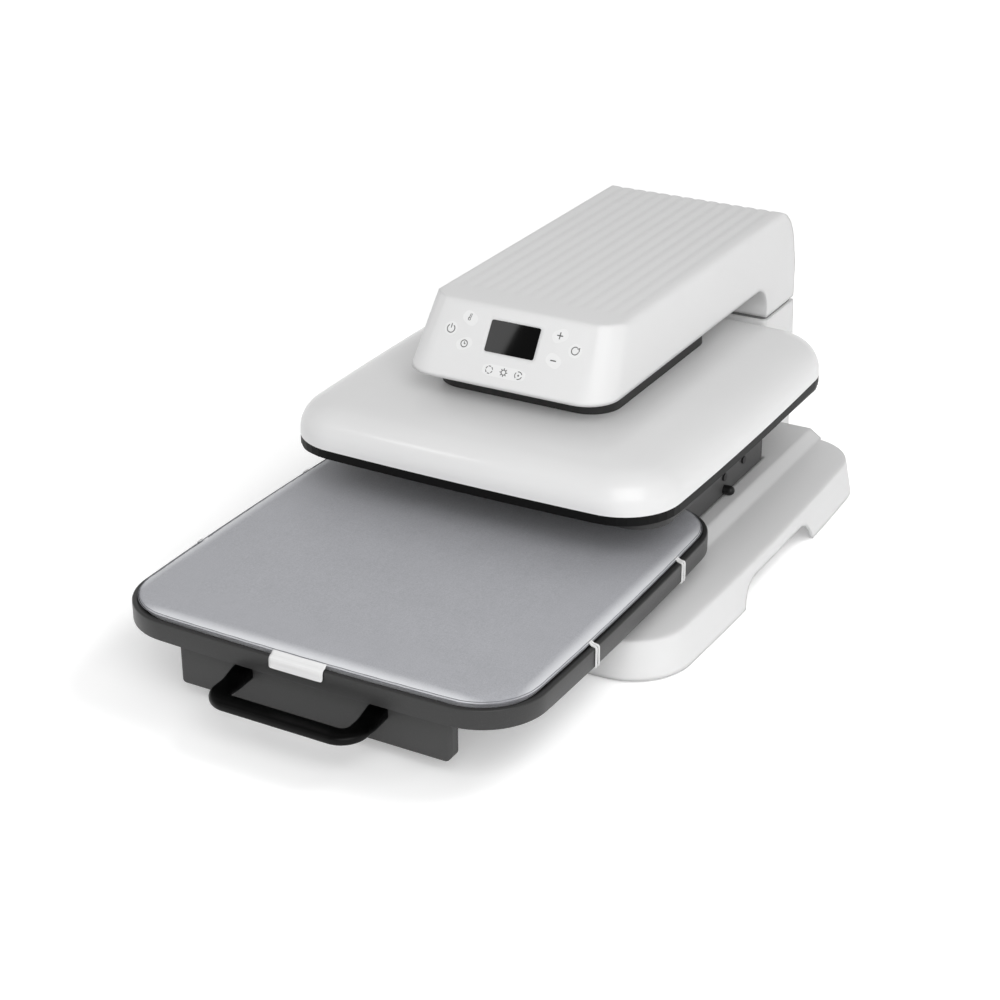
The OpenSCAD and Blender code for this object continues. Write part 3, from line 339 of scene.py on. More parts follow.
dark_steel = powder_coat("dark_steel", tone(66), 0.5)
# The base channel takes a paler copy of the same dark powder coat: painted light, which lifts it
# where it would render darker than the drawer.
lit_rail_coat = powder_coat("lit_rail_coat", tone(80), 0.5)
tray_steel = powder_coat("tray_steel", tone(50), 0.4)
zinc = drawn_metal("zinc_plate", tone(190, 192, 196), 0.36)
rolled_steel = drawn_metal("rolled_steel", tone(120, 122, 126), 0.5)
bright_rod = drawn_metal("bright_rod", tone(205, 206, 208), 0.2, along=2)
cast_alloy = drawn_metal("cast_alloy", tone(176, 177, 180), 0.48, along=0, pitch=90)
black_steel = powder_coat("black_oxide", tone(30), 0.42)
dress(dark_steel, "drawer_frame", "front_panel")
dress(lit_rail_coat, "base_frame")
dress(zinc, "slide_outer_left", "slide_outer_right", "slide_inner_left", "slide_inner_right",
    "slide_middle_left", "slide_middle_right")
dress(rolled_steel, "press_frame", "pressure_plate", "gear_motor", "heater_tube")
dress(bright_rod, "guide_rods", "lift_screw", "handle_screws", "thermal_cutout")
dress(cast_alloy, "guide_carrier")
dress(black_steel, "rail_screws", "rod_screws")

# Small plastics: feet, stops, the inlet and its switch, the collar in the column's seam, and
# the platen's rim. Boards and insulation sit out of sight, and the heating plate is coated.
rubber = moulded("foot_rubber", tone(42), 0.8, grain=0.0001)
black_plastic = moulded("black_plastic", tone(26), 0.4, Specular_IOR_Level=0.3)
seam_grey = moulded("seam_grey", tone(118), 0.6)
cream_board = moulded("insulation_cream", tone(214, 203, 176), 0.9, grain=0.0003, pitch=300)
green_board = moulded("board_green", tone(28, 92, 52), 0.45, drift_depth=0.2)
rim_black = moulded("rim_black", tone(9), 0.5, Specular_IOR_Level=0.12)
plate_coating = moulded("plate_coating", tone(52), 0.5, grain=0.0001, Specular_IOR_Level=0.3)
dress(rubber, "rubber_feet")
dress(black_plastic, "rail_stops", "mains_inlet", "switch_bezel", "power_rocker")
dress(rim_black, "platen_rim")
dress(plate_coating, "heating_plate")
dress(seam_grey, "seam_collar")
dress(cream_board, "insulation_board")
dress(green_board, "display_board", "power_board")


# Platen cover: one glossy white moulding with broad shoulders, open in the middle for the
# neck. Its section is carried round the platen's soft rectangle.
def soft_outline(width, depth, radius, bow, steps=20):
    """Plan of a soft rectangle, as complex points: shallow arcs for sides, joined at tangents
    by corner arcs. An arc of chord c and rise b has the radius c*c/8b + b/2, and the corner's
    centre is where circles of side radius less corner radius meet round both side centres."""
    side, front = depth ** 2 / (8 * bow) + bow / 2, width ** 2 / (8 * bow) + bow / 2
    side_hub, front_hub = complex(width / 2 - side, 0), complex(0, depth / 2 - front)
    gap = abs(front_hub - side_hub)
    unit = (front_hub - side_hub) / gap
    along = ((side - radius) ** 2 - (front - radius) ** 2 + gap ** 2) / (2 * gap)
    corner = side_hub + unit * complex(along, math.sqrt((side - radius) ** 2 - along ** 2))
    first, last = (np.angle(corner - hub) for hub in (side_hub, front_hub))
    share = np.arange(steps) / steps
    quarter = np.concatenate([side_hub + side * np.exp(1j * first * share),
        corner + radius * np.exp(1j * (first + (last - first) * share)),
        front_hub + front * np.exp(1j * (last + (math.pi / 2 - last) * share))])
    left = -np.conj(np.concatenate([quarter[1:], [complex(0, depth / 2)]]))[::-1]
    return np.concatenate([quarter, left, -quarter, -left])


def through(points, steps=5):
    """A Catmull-Rom curve that passes through every point."""
    knots = np.array([points[0], *points, points[-1]], float)
    share = np.linspace(0, 1, steps, endpoint=False)[None, :, None]
    a, b, c, d = (knots[i:len(knots) - 3 + i, None, :] for i in range(4))
    curve = b + 0.5 * share * (c - a + share * (2 * a - 5 * b + 4 * c - d
        + share * (3 * (b - c) + d - a)))
    return np.concatenate([curve.reshape(-1, knots.shape[1]), knots[-1:]])


platen_centre = np.array([0, 93.0, 0])


def in_frame(points):
    """Millimetres from under the platen's centre, in which the pieces are drawn, to metres in
    the machine's frame."""
    return (np.reshape(points, (-1, 3)) + platen_centre) * 0.001


def face_outwards(mesh):
    """Turns every face of a closed mesh outwards."""
    shape = bmesh.new()
    shape.from_mesh(mesh)
    bmesh.ops.recalc_face_normals(shape, faces=shape.faces)
    shape.to_mesh(mesh)
    shape.free()


def skin_mesh(name, rows, close_rows=False, crease=35):
    """Quads over a grid of rings, each ring closed. The last ring joins the first, or both
    ends get a flat face."""
    count, around = rows.shape[:2]
    index = np.arange(count * around).reshape(count, around)
    near, far = (index, np.roll(index, -1, 0)) if close_rows else (index[:-1], index[1:])
    quads = np.stack([near, np.roll(near, -1, 1), np.roll(far, -1, 1), far], -1).reshape(-1, 4)
    faces = quads.tolist()
    if not close_rows:
        faces += [index[0, ::-1].tolist(), index[-1].tolist()]
    mesh = bpy.data.meshes.new(name)
    mesh.from_pydata(in_frame(rows).tolist(), [], faces)
    mesh.validate()
    face_outwards(mesh)
    mesh.shade_smooth()
    mesh.set_sharp_from_angle(angle=math.radians(crease))
    return mesh


def rings(outlines, heights):
    """Stacks plan outlines at their heights into rows of points."""
    plan = np.array(outlines)
    lifted = np.broadcast_to(np.array(heights)[:, None], plan.shape)
    return np.stack([plan.real, plan.imag, lifted], -1)


def shrunk_outline(inset, wide, deep, corner, bow, steps=20):
    """A soft outline moved in. Its corners shrink with it, and open again further in."""
    radius = max(corner - inset, inset / 2)
    return soft_outline(wide - 2 * inset, deep - 2 * inset, radius, bow, steps)


def platen_outline(inset):
    return shrunk_outline(inset, wide=391, deep=432, corner=57, bow=4.4)


def cover_mesh():
    """The section runs from the foot of the cover to its flat top, as insets and shares of
    the rise, and back inside it by the wall."""
    base_z, rise, wall = 133.5, 37.0, 2.5
    outside = through([(0, 0), (0.5, 0.2), (2, 0.38), (5.5, 0.56), (10, 0.7), (16, 0.81), (24, 0.9),
        (36, 0.96), (56, 0.99), (78, 1)])
    inside = outside[::-1]
    neck_wide, neck_deep, neck_corner, neck_back, nearly_straight = 184.6, 235.6, 31.3, 15, 0.02
    neck = soft_outline(neck_wide, neck_deep, neck_corner, nearly_straight) + 1j * neck_back
    rows = [platen_outline(inset) for inset in outside[:, 0]] + [neck, neck]
    rows += [platen_outline(inset + wall) for inset in inside[:, 0]]
    heights = [base_z + rise * share for share in outside[:, 1]]
    heights += [base_z + rise, base_z + rise - wall]
    heights += [base_z + (rise - wall) * share for share in inside[:, 1]]
    return skin_mesh("cover_gloss", rings(rows, heights), close_rows=True)


gloss = Finish("white_gloss", tone(231), 0.22, Coat_Weight=0.35, Coat_Roughness=0.12,
    Specular_IOR_Level=0.4)
spot = gloss.place()
ripple, drift = gloss.noise(spot, 55, 1), gloss.noise(spot, 6)
gloss.feed(Base_Color=gloss.between(drift, tone(228), tone(232)), Roughness=0.28 + drift * 0.1,
    Normal=gloss.bump(ripple, 0.00006, 0.25))
new_piece("cover_gloss", cover_mesh(), gloss.material, "platen", "white_gloss", "platen_cover")
neck_grey = moulded("neck_grey", tone(57), 0.45, Specular_IOR_Level=0.2)
dress(neck_grey, "neck_skirt")


# Control face: a black glass display let into the slanted face, round it paler touch keys
# with thin printed signs. Everything printed lies a hair above the face.
face_run, face_rise = 41.0, 63.0
face_foot = np.array([0, -136.0, 193.0])
face_up = np.array([0, face_run, face_rise]) / math.hypot(face_run, face_rise)
face_out = np.array([0, -face_rise, face_run]) / math.hypot(face_run, face_rise)


def printed(name, shapes, low, high):
    """Flat outlines on the control face, each a ring of (across, up) points, as thin slabs.
    A pair of equal rings gives a band with a hole."""
    points, faces = [], []
    for shape in shapes:
        outer, inner = shape if isinstance(shape, tuple) else (shape, None)
        loops = [np.array(outer)] if inner is None else [np.array(outer), np.array(inner)]
        start, count = len(points), len(loops[0])
        for loop in loops:
            flat = face_foot + loop[:, :1] * [1, 0, 0] + loop[:, 1:] * face_up
            for lift in (low, high):
                points += (flat + lift * face_out).tolist()
        here = np.arange(count)
        onward = np.roll(here, -1)
        if inner is None:
            faces += [(start + here)[::-1].tolist(), (start + count + here).tolist()]
        for one, two in ((0, 1),) if inner is None else ((0, 1), (1, 3), (3, 2), (2, 0)):
            wall = [here + one * count, onward + one * count, onward + two * count,
                here + two * count]
            faces += (np.stack(wall, -1) + start).tolist()
    mesh = bpy.data.meshes.new(name)
    mesh.from_pydata(in_frame(points).tolist(), [], faces)
    face_outwards(mesh)
    return mesh


def circle(x, y, radius, steps=40):
    turn = np.linspace(0, 2 * math.pi, steps, endpoint=False)
    return np.stack([x + radius * np.cos(turn), y + radius * np.sin(turn)], -1)


def ring(x, y, radius, stroke):
    return circle(x, y, radius), circle(x, y, radius - stroke)


def arc_band(x, y, radius, stroke, first, last):
    """A part of a ring, from one angle to another."""
    turn = np.radians(np.linspace(first, last, 24))[:, None]
    unit = np.concatenate([np.cos(turn), np.sin(turn)], 1)
    return np.concatenate([unit * radius, unit[::-1] * (radius - stroke)]) + (x, y)


def turned_at(x, y, shape, degrees):
    """A shape turned about its own middle and moved to its place."""
    lean = math.radians(degrees)
    turn = np.array([[math.cos(lean), math.sin(lean)], [-math.sin(lean), math.cos(lean)]])
    return shape @ turn + (x, y)


def bar(x, y, length, stroke, turn=0.0):
    """A straight stroke with half-round ends."""
    end = np.radians(np.linspace(-90, 90, 8))
    half = length / 2 - stroke / 2
    cap = np.stack([half + stroke / 2 * np.cos(end), stroke / 2 * np.sin(end)], -1)
    return turned_at(x, y, np.concatenate([cap, -cap]), turn)


def leaf(x, y, wide, high, turn, power=2.6):
    """A soft key patch: a superellipse, turned."""
    angle = np.linspace(0, 2 * math.pi, 48, endpoint=False)
    cos, sin = np.cos(angle), np.sin(angle)
    shape = np.stack([wide / 2 * np.sign(cos) * np.abs(cos) ** (2 / power),
        high / 2 * np.sign(sin) * np.abs(sin) ** (2 / power)], -1)
    return turned_at(x, y, shape, turn)


def beside(spot, x=0.0, y=0.0):
    return spot[0] + x, spot[1] + y


# Middles of the keys: three left of the display, three right of it, and a wide one below
# that holds three signs. Signs are set out from them in millimetres.
power_key, heat_key, time_key = (-64.2, 47.1), (-47.4, 59.6), (-46.9, 35.4)
plus_key, minus_key, loop_key = (45.6, 59.4), (45.3, 36.0), (63.6, 48.4)
dashed_spot, toothed_spot, dotted_spot = ((x, 16.4) for x in (-15, 0, 15.2))
thick, middling, thin = 0.9, 0.8, 0.6
key_patches = [
    leaf(*power_key, wide=13, high=13, turn=0, power=2.1),
    leaf(*heat_key, wide=16, high=12, turn=-28), leaf(*time_key, wide=16, high=11, turn=24),
    leaf(*plus_key, wide=16, high=12, turn=28), leaf(*minus_key, wide=16, high=12, turn=-28),
    leaf(*loop_key, wide=13, high=13, turn=0, power=2.1),
    leaf(*toothed_spot, wide=44, high=11, turn=0, power=4)]
tooth_turns = np.linspace(0, 2 * math.pi, 8, endpoint=False)
signs = [
    # Power: an open ring with a stroke in its gap.
    arc_band(*beside(power_key, y=-0.3), 4.3, thick, 125, 415),
    bar(*beside(power_key, y=2.5), 4.6, thick, 90),
    # Heat: a bulb below two strokes.
    arc_band(*beside(heat_key, -0.9, -0.8), 1.6, thin, 70, 350),
    bar(*beside(heat_key, 0.4, 1.7), 5.6, thin, 80),
    bar(*beside(heat_key, -1.0, 1.8), 5.2, thin, 80),
    # Time: a ring with two hands.
    ring(*time_key, 3.7, thick), bar(*beside(time_key, y=0.8), 2.4, middling, 90),
    bar(*beside(time_key, 0.7, -0.2), 1.9, middling),
    # Plus and minus. The plus is a level stroke with a half above and a half below.
    bar(*beside(plus_key, -0.3, 0.1), 6.2, 1.1), bar(*beside(plus_key, -0.3, 2.0), 2.9, 1.1, 90),
    bar(*beside(plus_key, -0.3, -1.8), 2.9, 1.1, 90), bar(*beside(minus_key, -0.2), 6.0, 1.2),
    # Loop: an open ring with an arrow's head.
    arc_band(*beside(loop_key, y=0.2), 4.0, thick, 60, 350),
    bar(*beside(loop_key, 3.0, 2.8), 2.9, thick, 20),
    bar(*beside(loop_key, 3.8, 1.3), 2.9, thick, 100),
    # The wide key: a ring of dashes, a ring of teeth, and a dot in three arcs.
    *[arc_band(*dashed_spot, 3.8, middling, t + 8, t + 52) for t in range(0, 360, 60)],
    ring(*toothed_spot, 2.7, middling),
    *[bar(*beside(toothed_spot, 3.2 * math.cos(t), 3.2 * math.sin(t)), 1.7, thick, math.degrees(t))
        for t in tooth_turns],
    *[arc_band(*dotted_spot, 3.9, middling, t, t + 90) for t in (20, 140, 260)],
    circle(*dotted_spot, 0.9)]
key_white = moulded("key_white", tone(237), 0.42, drift_depth=0.01)
sign_ink = moulded("sign_ink", tone(100), 0.6, Specular_IOR_Level=0.2)
new_piece("touch_keys", printed("touch_keys", key_patches, low=-0.05, high=0.06), key_white,
    "chassis", "white_shell")
new_piece("touch_signs", printed("touch_signs", signs, low=-0.02, high=0.12), sign_ink,
    "chassis", "seam_grey")
glass = Finish("display_black", tone(3), 0.03, Specular_IOR_Level=0.14)
haze = glass.noise(glass.place(), 40)
glass.feed(Base_Color=glass.between(haze, tone(2), tone(4)), Roughness=0.02 + haze * 0.03)
dress(glass.material, "display_glass")


# Tray: pressed dark sheet with a rolled rim round the pad, open below, its rear skirt cut
# away over the rails. The pad's seat and the underside are flat.
tray_y, tray_wide, tray_deep, tray_bow = -264.0, 400, 416, 4.6


def tray_outline(inset, steps=20):
    outline = shrunk_outline(inset, tray_wide, tray_deep, corner=59, bow=tray_bow, steps=steps)
    return outline + 1j * tray_y


def tray_mesh():
    """The section runs from the seat up the rim's inner side, over its top, down its outer
    side and round its lower lip, as insets and heights."""
    seat, floor_low, rail_gap, skirt_rear = 73.0, 70.4, 153, 191
    section = [(4.6, seat), (4.6, 76.9), (4.5, 77.6), (4.2, 77.93), (3.8, 78.0), (1.5, 78.0),
        (0.8, 77.85), (0.3, 77.45), (0.05, 76.9), (0, 76.2), (0, 60.8), (0.25, 60.2), (0.8, 60),
        (2.2, 60), (2.75, 60.2), (3, 60.8), (3, floor_low)]
    rows = rings([tray_outline(inset) for inset, z in section], [z for inset, z in section])
    notch = (np.abs(rows[..., 0]) < rail_gap) & (rows[..., 1] > tray_y + skirt_rear)
    rows[..., 2] = np.where(notch, np.maximum(rows[..., 2], floor_low), rows[..., 2])
    return skin_mesh("tray_pan", rows)


new_piece("tray_pan", tray_mesh(), tray_steel, "drawer", "dark_steel", "tray")


# Pad: felt in a silver-grey heat-proof cloth, sewn shut round its edge. It lies in the
# tray's rim, and the elastic loops pull small puckers into its edge. A paler band painted
# along its edge stands for the sheen that its rounded shoulder catches.
pad_base, pad_crown, rim_height = 73.3, 83.95, 78.3
pad_clearance = 8.7
loop_places = (-66, 103)


def pad_outline(inset, steps=20):
    return tray_outline(pad_clearance + inset, steps)


def edge_distance(points):
    """How far points lie in from the tray's straight sides and from its straight ends."""
    return tray_wide / 2 - np.abs(points[:, 0]), tray_deep / 2 - np.abs(points[:, 1] - tray_y)


def swell(rows, pressure, limit, frames=20, loose_band=60, still=1e-6):
    """Blows a closed form up as cloth, held inside the rim and towards its middle, and tells
    how far each point moves, at most by the limit. All lengths are in millimetres."""
    blank = bpy.data.objects.new("pad_blank", skin_mesh("pad_blank", rows))
    bpy.context.scene.collection.objects.link(blank)
    points = rows.reshape(-1, 3)
    loose = (points[:, 2] > rim_height) & (np.min(edge_distance(points), 0) < loose_band)
    held = blank.vertex_groups.new(name="held")
    held.add(np.nonzero(~loose)[0].tolist(), 1.0, "REPLACE")
    cloth = blank.modifiers.new("cloth", "CLOTH")
    cloth.settings.vertex_group_mass = "held"
    cloth.settings.use_pressure = True
    cloth.settings.uniform_pressure_force = pressure
    cloth.settings.effector_weights.gravity = 0
    for step in range(1, frames + 1):
        bpy.context.scene.frame_set(step)
    blown = blank.evaluated_get(bpy.context.evaluated_depsgraph_get())
    swollen = np.empty(points.size, np.float32)
    blown.data.vertices.foreach_get("co", swollen)
    bpy.data.objects.remove(blank)
    bpy.context.scene.frame_set(1)
    move = swollen.reshape(-1, 3) * 1000.0 - platen_centre - points
    length = np.linalg.norm(move, axis=1, keepdims=True)
    return (move * np.minimum(1, limit / np.maximum(length, still))).reshape(rows.shape)


def shape_pad(points, edge_wave=0.2, loop_wave=0.9, broad_wave=0.14, slant_wave=0.1, sag=0.24):
    """Gives the swollen pad its puckers, waves along the edge that fade inwards and are deeper
    by each loop, and a slack crown. Points, heights of waves and reaches are in millimetres."""
    loop_reach, loop_depth, edge_depth, edge_width = 14, 17, 8, 6
    x, y, z = points.T
    side, end = edge_distance(points)
    along = np.where(side < end, y, x)
    near_loop = sum(np.exp(-((y - tray_y - place) / loop_reach) ** 2) for place in loop_places)
    near_loop = near_loop * np.exp(-(side - 5) / loop_depth)
    top = np.clip((z - rim_height) / (pad_crown - rim_height), 0, 1)
    fade = np.exp(-np.clip(np.minimum(side, end) - edge_width, 0, None) / edge_depth)
    pucker = edge_wave * fade * np.sin(along * 0.37 + 1.3 * np.sin(along * 0.063))
    pucker += loop_wave * near_loop * (np.sin(along * 1.3) - 0.8)
    slack = broad_wave * np.sin(x * 0.031 + 0.6) * np.sin(y * 0.027)
    slack = slack + slant_wave * np.sin(x * 0.012 - y * 0.02) - sag
    return np.stack([x, y, np.clip(z + top * (pucker + slack), pad_base, pad_crown)], -1)


def pad_rows(steps):
    """The pad before it is blown up: it fills the tray's rim, bulges over it, and turns in a
    round shoulder to its crown. Rings that shrink to the middle close it above and below."""
    section = through([(2.0, pad_base), (0.9, 74.2), (0.7, 76.4), (0.5, 77.8), (-0.9, 78.6),
        (-2.0, 79.2), (-2.8, 79.9), (-2.9, 80.6), (-2.3, 81.3), (-0.9, 82.0), (1.6, 82.7),
        (5.0, 83.2), (10, 83.55), (24, 83.7)], 2)
    middle = 1j * tray_y
    first, last = (pad_outline(section[end, 0], steps) - middle for end in (0, -1))
    below = [first * share + middle for share in np.linspace(0.1, 0.95, 7)]
    above = [last * share + middle for share in np.linspace(0.92, 0.06, 15)]
    outlines = below + [pad_outline(inset, steps) for inset, z in section] + above
    heights = [pad_base] * len(below) + [z for inset, z in section] + [section[-1][1]] * len(above)
    return rings(outlines, heights)


def pad_mesh(steps=60, coarser=4):
    """Swells a coarser form, spreads its moves over the fine one, and adds the puckers."""
    rows = pad_rows(steps)
    move = swell(pad_rows(steps // coarser), pressure=4.0, limit=0.5)
    place, share = np.divmod(np.arange(rows.shape[1]), coarser)
    share = share[None, :, None] / coarser
    rows = rows + move[:, place] * (1 - share) + move[:, (place + 1) % move.shape[1]] * share
    return skin_mesh("pad_cloth", shape_pad(rows.reshape(-1, 3)).reshape(rows.shape), crease=180)


cloth_grey = Finish("pad_fabric", tone(178, 179, 184), 0.6, Specular_IOR_Level=0.4,
    Sheen_Weight=0.25, Sheen_Roughness=0.4)
spot = cloth_grey.place()
warp, weft = (cloth_grey.node("ShaderNodeTexWave", {"bands_direction": way}, Vector=spot,
    Scale=320.0, Distortion=1.5, Detail=1.0) for way in "XY")
slub_up, slub_across = (cloth_grey.noise(cloth_grey.place(stretch), 700)
    for stretch in ((1, 0.12, 1), (0.12, 1, 1)))
slub = slub_up + slub_across
cloud, fleck = cloth_grey.noise(spot, 26, 4), cloth_grey.noise(spot, 1000, 3)
weave = (warp + weft) * 0.5
# The paler band at the pad's edge is painted sheen: an attribute that rises towards the tray's side
# lightens the cloth there, in its weave tone and in the final colour, standing for the light that
# the rounded shoulder catches.
edge_sheen = cloth_grey.node("ShaderNodeAttribute", {"attribute_name": "painted_edge_sheen"}, output=2)
weave_and_sheen = weave * 0.3 + slub * 0.3 + (cloud - 0.5) * 0.2 + (fleck - 0.5) * 1.3 + edge_sheen * 0.3 - 0.02
silver = cloth_grey.between(weave_and_sheen, tone(158, 159, 164), tone(192, 193, 198))
cloth_grey.feed(Base_Color=cloth_grey.between(edge_sheen * 0.9, silver, tone(228, 229, 232)),
    Roughness=0.5 + (slub - 1) * 0.15 + weave * 0.12,
    Normal=cloth_grey.bump(weave + slub, 0.00012, 0.5))
pad = new_piece("pad_cloth", pad_mesh(), cloth_grey.material, "drawer", "pad_fabric", "pad")
points = np.empty(len(pad.data.vertices) * 3, np.float32)
pad.data.vertices.foreach_get("co", points)
inward = np.min(edge_distance(points.reshape(-1, 3) * 1000.0 - platen_centre), 0)
# Painted sheen: the paler edge band is full where the cloth lies less than 9 mm in from the tray's
# side, and fades out by 18 mm.
sheen_wide, sheen_fade = 18, 9
pad.data.attributes.new("painted_edge_sheen", "FLOAT", "POINT").data.foreach_set("value",
    np.clip((sheen_wide - inward) / sheen_fade, 0, 1).astype(np.float32))


def tube_rows(path, radius, steps=8):
    """A round section carried along a closed or open path. At each point it stands square to
    the path, spanned by the level normal and the upright."""
    ahead = np.roll(path, -1, 0) - np.roll(path, 1, 0)
    ahead /= np.linalg.norm(ahead, axis=1, keepdims=True)
    level_way = np.cross(ahead, [0, 0, 1.0])
    level_way /= np.linalg.norm(level_way, axis=1, keepdims=True)
    turn = np.linspace(0, 2 * math.pi, steps, endpoint=False)
    return (path[:, None] + radius * np.cos(turn)[None, :, None] * level_way[:, None]
        + radius * np.sin(turn)[None, :, None] * np.array([0, 0, 1.0]))


def seam_mesh(name, inset, height, radius):
    """A sewn line round the pad, which rises and falls a little from stitch to stitch."""
    plan = pad_outline(inset)
    wave = 0.12 * np.sin(np.arange(len(plan)) * 1.7)
    path = np.stack([plan.real, plan.imag, height + wave], -1)
    return skin_mesh(name, tube_rows(path, radius), close_rows=True)


thread_grey = moulded("seam_thread", tone(132, 133, 138), 0.8, grain=0.0002)
for name, inset, height in (("pad_seam_low", -3.35, 80.2), ("pad_seam_high", -2.2, 81.75)):
    new_piece(name, seam_mesh(name, inset, height, 0.3), thread_grey, "drawer", "pad_fabric")


# Tab and loops: a folded white label sewn into the pad's front edge, and thin doubled
# elastic that runs from the pad over the rim and under it.
def ribbon_rows(path, half_width, middle, thickness, across):
    """A flat band along a path in a plane. Its edges lie at the middle line plus or minus the
    half width across that plane, and its faces lie half a thickness to each side."""
    path = np.array(path, float)
    ahead = np.gradient(path, axis=0)
    ahead /= np.linalg.norm(ahead, axis=1, keepdims=True)
    normal = np.cross(ahead, across)
    offset = (half_width * across, normal * thickness / 2)
    line = path + np.array(middle)[:, None] * across
    return np.stack([line - offset[0] - offset[1], line + offset[0] - offset[1],
        line + offset[0] + offset[1], line - offset[0] + offset[1]], 1)


def elastic(thickness=0.9, half_width=1.1, apart=1.15, spreading=1.6):
    """Both strands of a loop leave the pad together, spread over the rim, and turn under it.
    The route is drawn at the middle of the tray's side, an arc of radius r, which lies
    further in by a place squared over 2r."""
    side_radius = tray_deep ** 2 / (8 * tray_bow) + tray_bow / 2
    route = through([(191.9, 81.8), (193.6, 80.9), (195.0, 79.8), (196.7, 78.9), (198.6, 78.55),
        (199.9, 78.2), (200.6, 77.3), (200.8, 76), (200.8, 70), (200.8, 60.6), (200.1, 59.5),
        (198, 59.4), (195.5, 59.4)])
    middle = apart + spreading * np.linspace(0, 1, len(route))
    strands = []
    for side in (-1, 1):
        for place in loop_places:
            out = side * (route[:, 0] - place ** 2 / (2 * side_radius))
            path = np.stack([out, np.full(len(route), tray_y + place), route[:, 1]], -1)
            for strand in (-1, 1):
                strands.append(ribbon_rows(path, half_width, strand * middle, thickness,
                    across=np.array([0, 1.0, 0])))
    return strands


def merged_mesh(name, parts):
    """Several skins in one mesh."""
    whole = bmesh.new()
    for rows in parts:
        part = skin_mesh(name + "_part", rows)
        whole.from_mesh(part)
        bpy.data.meshes.remove(part)
    mesh = bpy.data.meshes.new(name)
    whole.to_mesh(mesh)
    whole.free()
    return mesh


def woven(name, color, pitch):
    """Narrow woven tape: fine ribs both ways in tone and bump."""
    tape = Finish(name, color, 0.75, Specular_IOR_Level=0.3)
    spot = tape.place()
    ribs = [tape.node("ShaderNodeTexWave", {"bands_direction": way}, Vector=spot, Scale=pitch)
        for way in "XYZ"]
    weave = (ribs[0] + ribs[1] + ribs[2]) * 0.33
    tape.feed(Base_Color=tape.between(weave, tuple(part * 0.9 for part in color), color),
        Roughness=0.65 + weave * 0.15, Normal=tape.bump(weave, 0.0001, 0.4))
    return tape.material


white_tape = woven("white_fabric", tone(238), 420.0)
new_piece("elastic_loops", merged_mesh("elastic_loops", elastic()), white_tape, "drawer",
    "white_fabric", "pad_straps")


def tab_rows(half=26.0, across_steps=24, corner=1.6, corner_from=0.88, curl=0.9, raised=0.5,
        bowed=0.33):
    """The label as a bent sheet: a route over the rim, swept across its width. Its lower
    corners are rounded off, curl forwards and rise, and its ends follow the rim's bow."""
    route = through([(5.4, 81.7), (4.5, 80.8), (3.4, 79.9), (2.2, 79.2), (0.8, 78.7), (-0.4, 77.8),
        (-1.1, 76.4), (-1.3, 74.3), (-1.2, 71.6), (-1.6, 68.4)]) + (tray_y - tray_deep / 2, 0)
    run = np.linspace(0, 1, len(route))
    across = np.linspace(-1, 1, across_steps)
    rounded = np.clip((run - corner_from) / (1 - corner_from), 0, 1)
    wide = half - corner * (1 - np.sqrt(1 - rounded ** 2))
    x = wide[:, None] * across[None]
    forwards = curl * run[:, None] ** 6 * np.abs(across[None]) ** 4
    y = route[:, 0, None] - forwards + bowed * across[None] ** 2
    z = route[:, 1, None] + raised * run[:, None] ** 8 * np.abs(across[None]) ** 6
    return np.stack([x, y, z], -1)


def sheet_mesh(name, points):
    """An open sheet over a grid of points."""
    count, across = points.shape[:2]
    index = np.arange(count * across).reshape(count, across)
    quads = np.stack([index[:-1, :-1], index[:-1, 1:], index[1:, 1:], index[1:, :-1]], -1)
    mesh = bpy.data.meshes.new(name)
    mesh.from_pydata(in_frame(points).tolist(), [], quads.reshape(-1, 4)[:, ::-1].tolist())
    mesh.shade_smooth()
    return mesh


label_points, label_thickness = tab_rows(), 0.55
label = new_piece("pad_label", sheet_mesh("pad_label", label_points), white_tape, "drawer",
    "white_fabric", "pad_tab")
body = label.modifiers.new("thick", "SOLIDIFY")
body.thickness, body.offset = label_thickness / 1000, 0


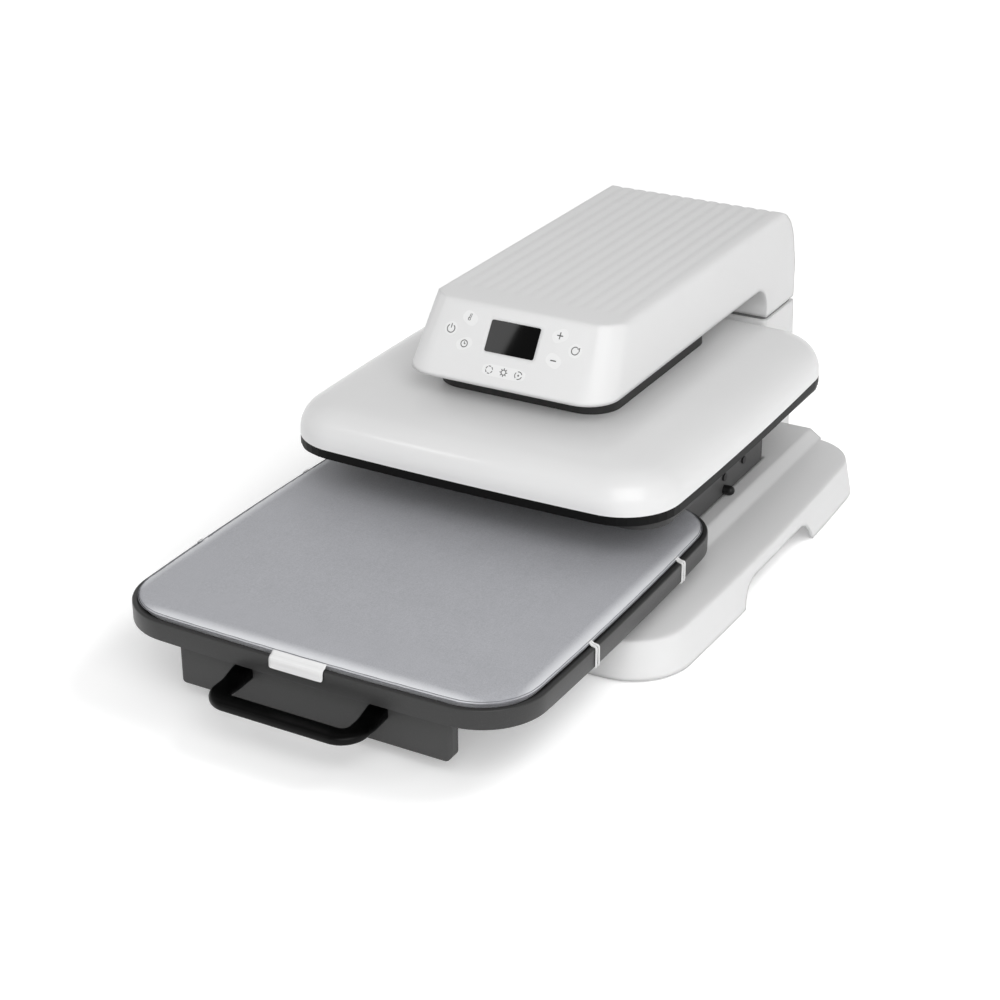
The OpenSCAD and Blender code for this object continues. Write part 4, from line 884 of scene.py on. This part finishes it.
# Handle: a cast bow with satin black enamel. Its flat round-edged bar runs from post to
# post, and the posts stand taller where they meet the panel.
def handle_mesh():
    """Half the plan runs from the panel along a leg, round a bend and to the middle, and is
    mirrored. A flat superellipse is carried along it."""
    panel, reach, half, bend = -454.0, 45.0, 66.0, 15.0
    low, wide, bar_tall, post_tall, flare = 36, 18, 9, 15, 22
    turn = np.linspace(0, math.pi / 2, 14)
    front = panel - reach
    corner = np.stack([-half + bend - bend * np.cos(turn), front + bend - bend * np.sin(turn)], -1)
    leg_y = np.linspace(panel, front + bend, 10, endpoint=False)
    leg = np.stack([np.full(10, -half), leg_y], -1)
    middle = np.stack([np.linspace(-half + bend, 0, 12)[1:], np.full(11, front)], -1)
    left = np.concatenate([leg, corner, middle])
    plan = np.concatenate([left, (left * [-1, 1])[:-1][::-1]])
    ahead = np.gradient(plan, axis=0)
    ahead /= np.linalg.norm(ahead, axis=1, keepdims=True)
    normal = np.stack([-ahead[:, 1], ahead[:, 0]], -1)
    near_panel = np.clip(1 - (panel - plan[:, 1]) / flare, 0, 1)
    tall = bar_tall + (post_tall - bar_tall) * near_panel ** 2 * (3 - 2 * near_panel)
    angle = np.linspace(0, 2 * math.pi, 32, endpoint=False)
    cos, sin = np.cos(angle), np.sin(angle)
    across = np.sign(cos) * np.abs(cos) ** 0.55 * wide / 2
    height = np.sign(sin) * np.abs(sin) ** 0.7
    x, y = np.moveaxis(plan[:, None] + normal[:, None] * across[None, :, None], -1, 0)
    z = low + tall[:, None] / 2 * (1 + height[None])
    return skin_mesh("handle_bow", np.stack([x, np.minimum(y, panel), z], -1), crease=50)


enamel = Finish("handle_enamel", tone(2), 0.3, Specular_IOR_Level=0.14)
spot = enamel.place()
fine, drift = enamel.noise(spot, 900), enamel.noise(spot, 20)
enamel.feed(Base_Color=enamel.between(drift, tone(1), tone(3)),
    Roughness=0.26 + drift * 0.12 + fine * 0.05, Normal=enamel.bump(fine, 0.00003, 0.5))
new_piece("handle_bow", handle_mesh(), enamel.material, "drawer", "black_plastic", "handle")
